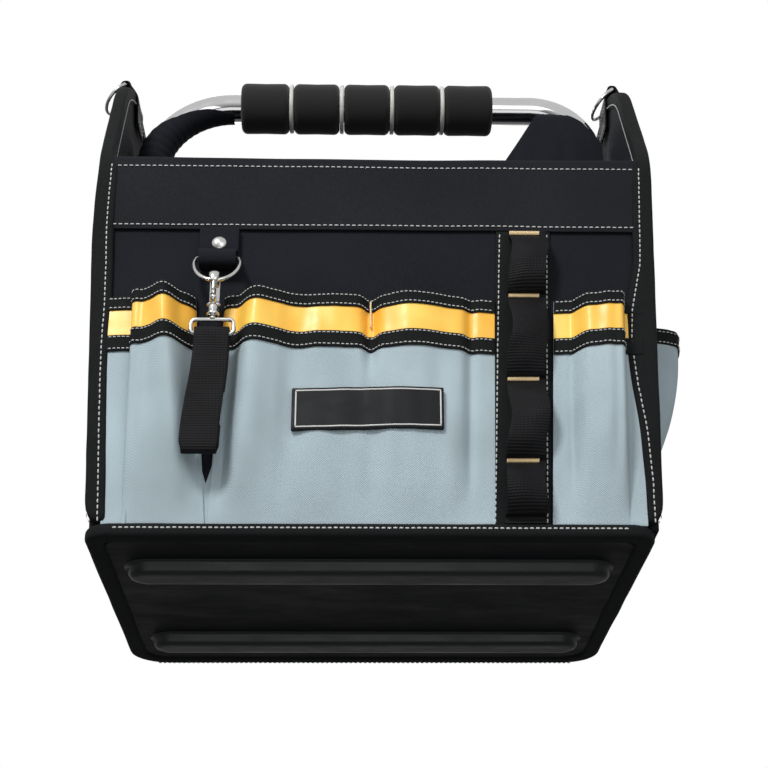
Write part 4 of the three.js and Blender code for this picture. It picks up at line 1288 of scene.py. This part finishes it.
# The flap's two edges: height, as a share of the whole, and distance from its left side, in mm
FLAP_LEFT = ((0, 0), (0.52, 2), (0.9, 29), (1, 36))
FLAP_RIGHT = ((0, 80), (0.69, 81), (0.86, 67), (0.98, 48), (1, 46))


def build_flap():
    """A flap of cloth that hangs in front of the handle's right bend, and wraps over it at its top."""
    low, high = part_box("right_handle_flap")
    width, height = high.x - low.x, high.z - low.z

    def point(u, v):
        left, right = (np.interp(v, *zip(*edge)) * MM for edge in (FLAP_LEFT, FLAP_RIGHT))
        slow = 2.6 * MM * math.sin(u * 7 + v * 4) * (1 - v)
        quick = 1.2 * MM * math.sin(u * 16 + v * 5) * (1 - 0.6 * v)
        wrap = 8 * MM * smoothstep(0.86, 1.0, v) ** 2
        y = low.y + 1 * MM - abs(slow + quick) * 0.6 + wrap
        return Vector((low.x + left + (right - left) * u, y, low.z + height * v))

    piece = cloth("right_leg_flap", point, 40, 60, 1.4 * MM, BLACK, "black_fabric",
                  replaces=("right_handle_flap",))


# A bolt's dome: how far out from its washer's face, in mm, and its radius as a share of the head's
BOLT_DOME = ((0, 1), (0.8, 1), (0.9, 0.8), (2.2, 0.66), (3.0, 0.4))


def build_bolts():
    """Domed bolt heads over thin washers, outside the side walls."""
    for side, sign in SIDES:
        for height in ("lower", "upper"):
            node = f"handle_bolt_{side}_{height}"
            low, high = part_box(node)
            z, radius = (low.z + high.z) / 2, (high.z - low.z) / 2
            tip, tail = (high.x, low.x) if sign > 0 else (low.x, high.x)
            face = tip - sign * 3.4 * MM
            profile = [(tail, 0), (tail, 3 * MM), (face, 3 * MM)]
            profile += [(face + sign * out * MM, radius * share) for out, share in BOLT_DOME]
            profile.append((tip, 0))
            make(f"{node}_dome", *turned(profile, "x", (0, 0, z)), CHROME, "chrome", replaces=(node,))


TAB_WIDE = 5.6 * MM


def tab_run(low, bar):
    """The ring tab's section in (out, z), from its foot up and over the ring's bar and down again."""
    rise = [(-TAB_WIDE, low), (-TAB_WIDE, bar - 14 * MM), (-TAB_WIDE * 0.98, PEAK_Z - 1 * MM),
            (-4.0 * MM, bar - 0.6 * MM), (-2.4 * MM, bar + 3.0 * MM)]
    return spline([*rise, (0, bar + 3.8 * MM), *((-out, z) for out, z in rise[::-1])], 60)


def build_ear_rings():
    for side, sign in SIDES:
        low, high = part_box(f"{side}_ear_tab")
        pivot = JOINTS[f"{side}_ring_swing"]
        half = (high.y - low.y) / 2
        fine = tab_run(low.z, pivot.z)

        def place(out, y, z):
            """The tab's legs follow the leaning wall, and its loop stays round the ring's bar."""
            wall = edge_x(sign, y, z) - sign * CAD_BINDING / 2
            middle = wall + (pivot.x - wall) * smoothstep(PEAK_Z - 9 * MM, pivot.z, z)
            return Vector((middle + sign * out, y, z))

        def point(u, v):
            out, z = between_points(fine, v)
            return place(out, (2 * u - 1) * half, z)

        cloth(f"{side}_ring_tab", point, 10, 60, 1.5 * MM, WEBBING, "webbing", side=0,
              replaces=(f"{side}_ear_tab",))
        rows = []
        for turn in (-1, 1):
            for z in (low.z + 3 * MM, low.z + 20 * MM):
                path = [place(turn * (TAB_WIDE + 1.0 * MM), half * 0.84 * (k / 10 - 1), z)
                        for k in range(21)]
                rows.append((path, (sign * turn, 0, 0)))
        stitch_rows(f"{side}_tab_stitches", rows)
        build_shoulder_ring(side, pivot)


def build_shoulder_ring(side, pivot):
    node = f"{side}_ear_ring"
    low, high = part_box(node)
    wire = 1.4 * MM
    lean = -1 if (low.x + high.x) / 2 < pivot.x else 1
    down = Vector((lean, 0, -1)).normalized()
    half = (high.y - low.y) / 2 - wire
    path = [pivot + BACKWARD * a - down * b for a, b in wire_ring(half, 22 * MM)]
    ring = sweep(path, circle(wire, 14), closed=True, up=ACROSS)
    make(f"{side}_shoulder_ring", *ring, NICKEL, "nickel", body=node, replaces=(node,))


# ---------------------------------------------------------------- stage


def build_floor():
    """A pale floor that fades out and shows from above only, so that it never hides the bag's underside."""
    size = 3.0
    mesh = bpy.data.meshes.new("floor")
    mesh.from_pydata([(-size, -size, 0), (size, -size, 0), (size, size, 0), (-size, size, 0)], [],
                     [(0, 1, 2, 3)])
    floor = bpy.data.objects.new("floor", mesh)
    floor.location.z = -0.2 * MM
    bpy.context.scene.collection.objects.link(floor)
    s = Shader("pale_floor", (0.86, 0.86, 0.86), 0.9)
    distance = s.node("ShaderNodeVectorMath", operation="LENGTH")
    s.link(s.place, distance.inputs[0])
    fade = s.ramp(distance.outputs["Value"], 0, 1, 0.35, 1.1)
    below = s.node("ShaderNodeNewGeometry").outputs["Backfacing"]
    hidden = s.math("MAXIMUM", fade, below)
    clear, mix = s.node("ShaderNodeBsdfTransparent"), s.node("ShaderNodeMixShader")
    for socket, value in zip(mix.inputs, (hidden, s.surface.outputs[0], clear.outputs[0])):
        s.link(value, socket)
    s.link(mix.outputs[0], s.tree.nodes["Material Output"].inputs["Surface"])
    mesh.materials.append(s.material)
    floor.visible_shadow = False
    floor.visible_diffuse = False
    floor.visible_glossy = False


def area_light(name, place, target, size, power):
    data = bpy.data.lights.new(name, "AREA")
    data.energy, data.size = power, size
    lamp = bpy.data.objects.new(name, data)
    lamp.location = place
    lamp.rotation_mode = "QUATERNION"
    lamp.rotation_quaternion = (Vector(target) - Vector(place)).to_track_quat("-Z", "Y")
    bpy.context.scene.collection.objects.link(lamp)


# Strength of the world's light from above and from below
SKY_LIGHT, GROUND_LIGHT = 0.62, 0.12


def build_stage():
    """The floor, four lamps and a world that is white to the camera and dimmer as a light."""
    build_floor()
    world = bpy.data.worlds.new("studio")
    bpy.context.scene.world = world
    world.use_nodes = True
    nodes, links = world.node_tree.nodes, world.node_tree.links
    seen, shed = nodes["Background"], nodes.new("ShaderNodeBackground")
    seen.inputs["Color"].default_value = (1, 1, 1, 1)
    shed.inputs["Color"].default_value = (1, 1, 1, 1)
    place, split = nodes.new("ShaderNodeTexCoord"), nodes.new("ShaderNodeSeparateXYZ")
    fade = nodes.new("ShaderNodeMapRange")
    links.new(place.outputs["Generated"], split.inputs[0])
    links.new(split.outputs["Z"], fade.inputs["Value"])
    span = {"From Min": -0.35, "From Max": 0.25, "To Min": GROUND_LIGHT, "To Max": SKY_LIGHT}
    for key, number in span.items():
        fade.inputs[key].default_value = number
    links.new(fade.outputs[0], shed.inputs["Strength"])
    paths, mix = nodes.new("ShaderNodeLightPath"), nodes.new("ShaderNodeMixShader")
    links.new(paths.outputs["Is Camera Ray"], mix.inputs["Fac"])
    links.new(shed.outputs[0], mix.inputs[1])
    links.new(seen.outputs[0], mix.inputs[2])
    links.new(mix.outputs[0], nodes["World Output"].inputs["Surface"])
    middle = (0, 0, 0.2)
    area_light("key", (-0.7, -1.5, 1.2), middle, 0.4, 25)
    area_light("fill", (0.5, -1.7, 0.3), middle, 1.0, 4)
    area_light("under", (0.0, -1.2, -0.8), (0, 0, 0.1), 1.2, 3.5)
    area_light("back", (-0.3, 1.5, 1.2), middle, 1.2, 9)
    scene = bpy.context.scene
    scene.view_settings.view_transform = "Standard"
    scene.view_settings.look = "None"


CAMERA_PLACE = (-16.73 * MM, -976.03 * MM, -319.40 * MM)
CAMERA_PITCH, CAMERA_YAW, CAMERA_ROLL = 26.94, 1.693, -0.468
CAMERA_LENS, CAMERA_SENSOR = 70.3125, 36.0


def build_camera():
    """The camera stands low in front of the bag and looks up, so that the base shows."""
    pitch, yaw, roll = (math.radians(a) for a in (CAMERA_PITCH, CAMERA_YAW, CAMERA_ROLL))
    forward = Vector((math.sin(yaw) * math.cos(pitch), math.cos(yaw) * math.cos(pitch), math.sin(pitch)))
    right = Vector((math.cos(yaw), -math.sin(yaw), 0))
    up = right.cross(forward)
    right, up = right * math.cos(roll) + up * math.sin(roll), up * math.cos(roll) - right * math.sin(roll)
    data = bpy.data.cameras.new("camera")
    data.lens, data.sensor_width = CAMERA_LENS, CAMERA_SENSOR
    data.clip_start, data.clip_end = 0.05, 50
    camera = bpy.data.objects.new("camera", data)
    turn = Matrix((right, up, -forward)).transposed().to_4x4()
    camera.matrix_world = Matrix.Translation(CAMERA_PLACE) @ turn
    bpy.context.scene.collection.objects.link(camera)
    bpy.context.scene.camera = camera


build_camera()
build_stage()
build_walls()
build_bindings()
build_top_bands()
front_pockets = build_pockets()
build_pin(front_pockets["front_pocket_centre"])
build_gusset(front_pockets["front_pocket_left"], front_pockets["front_pocket_centre"])
build_tool_loops()
build_patch(front_pockets["front_pocket_centre"])
build_base()
build_hook()
build_handle()
build_bolts()
build_ear_rings()
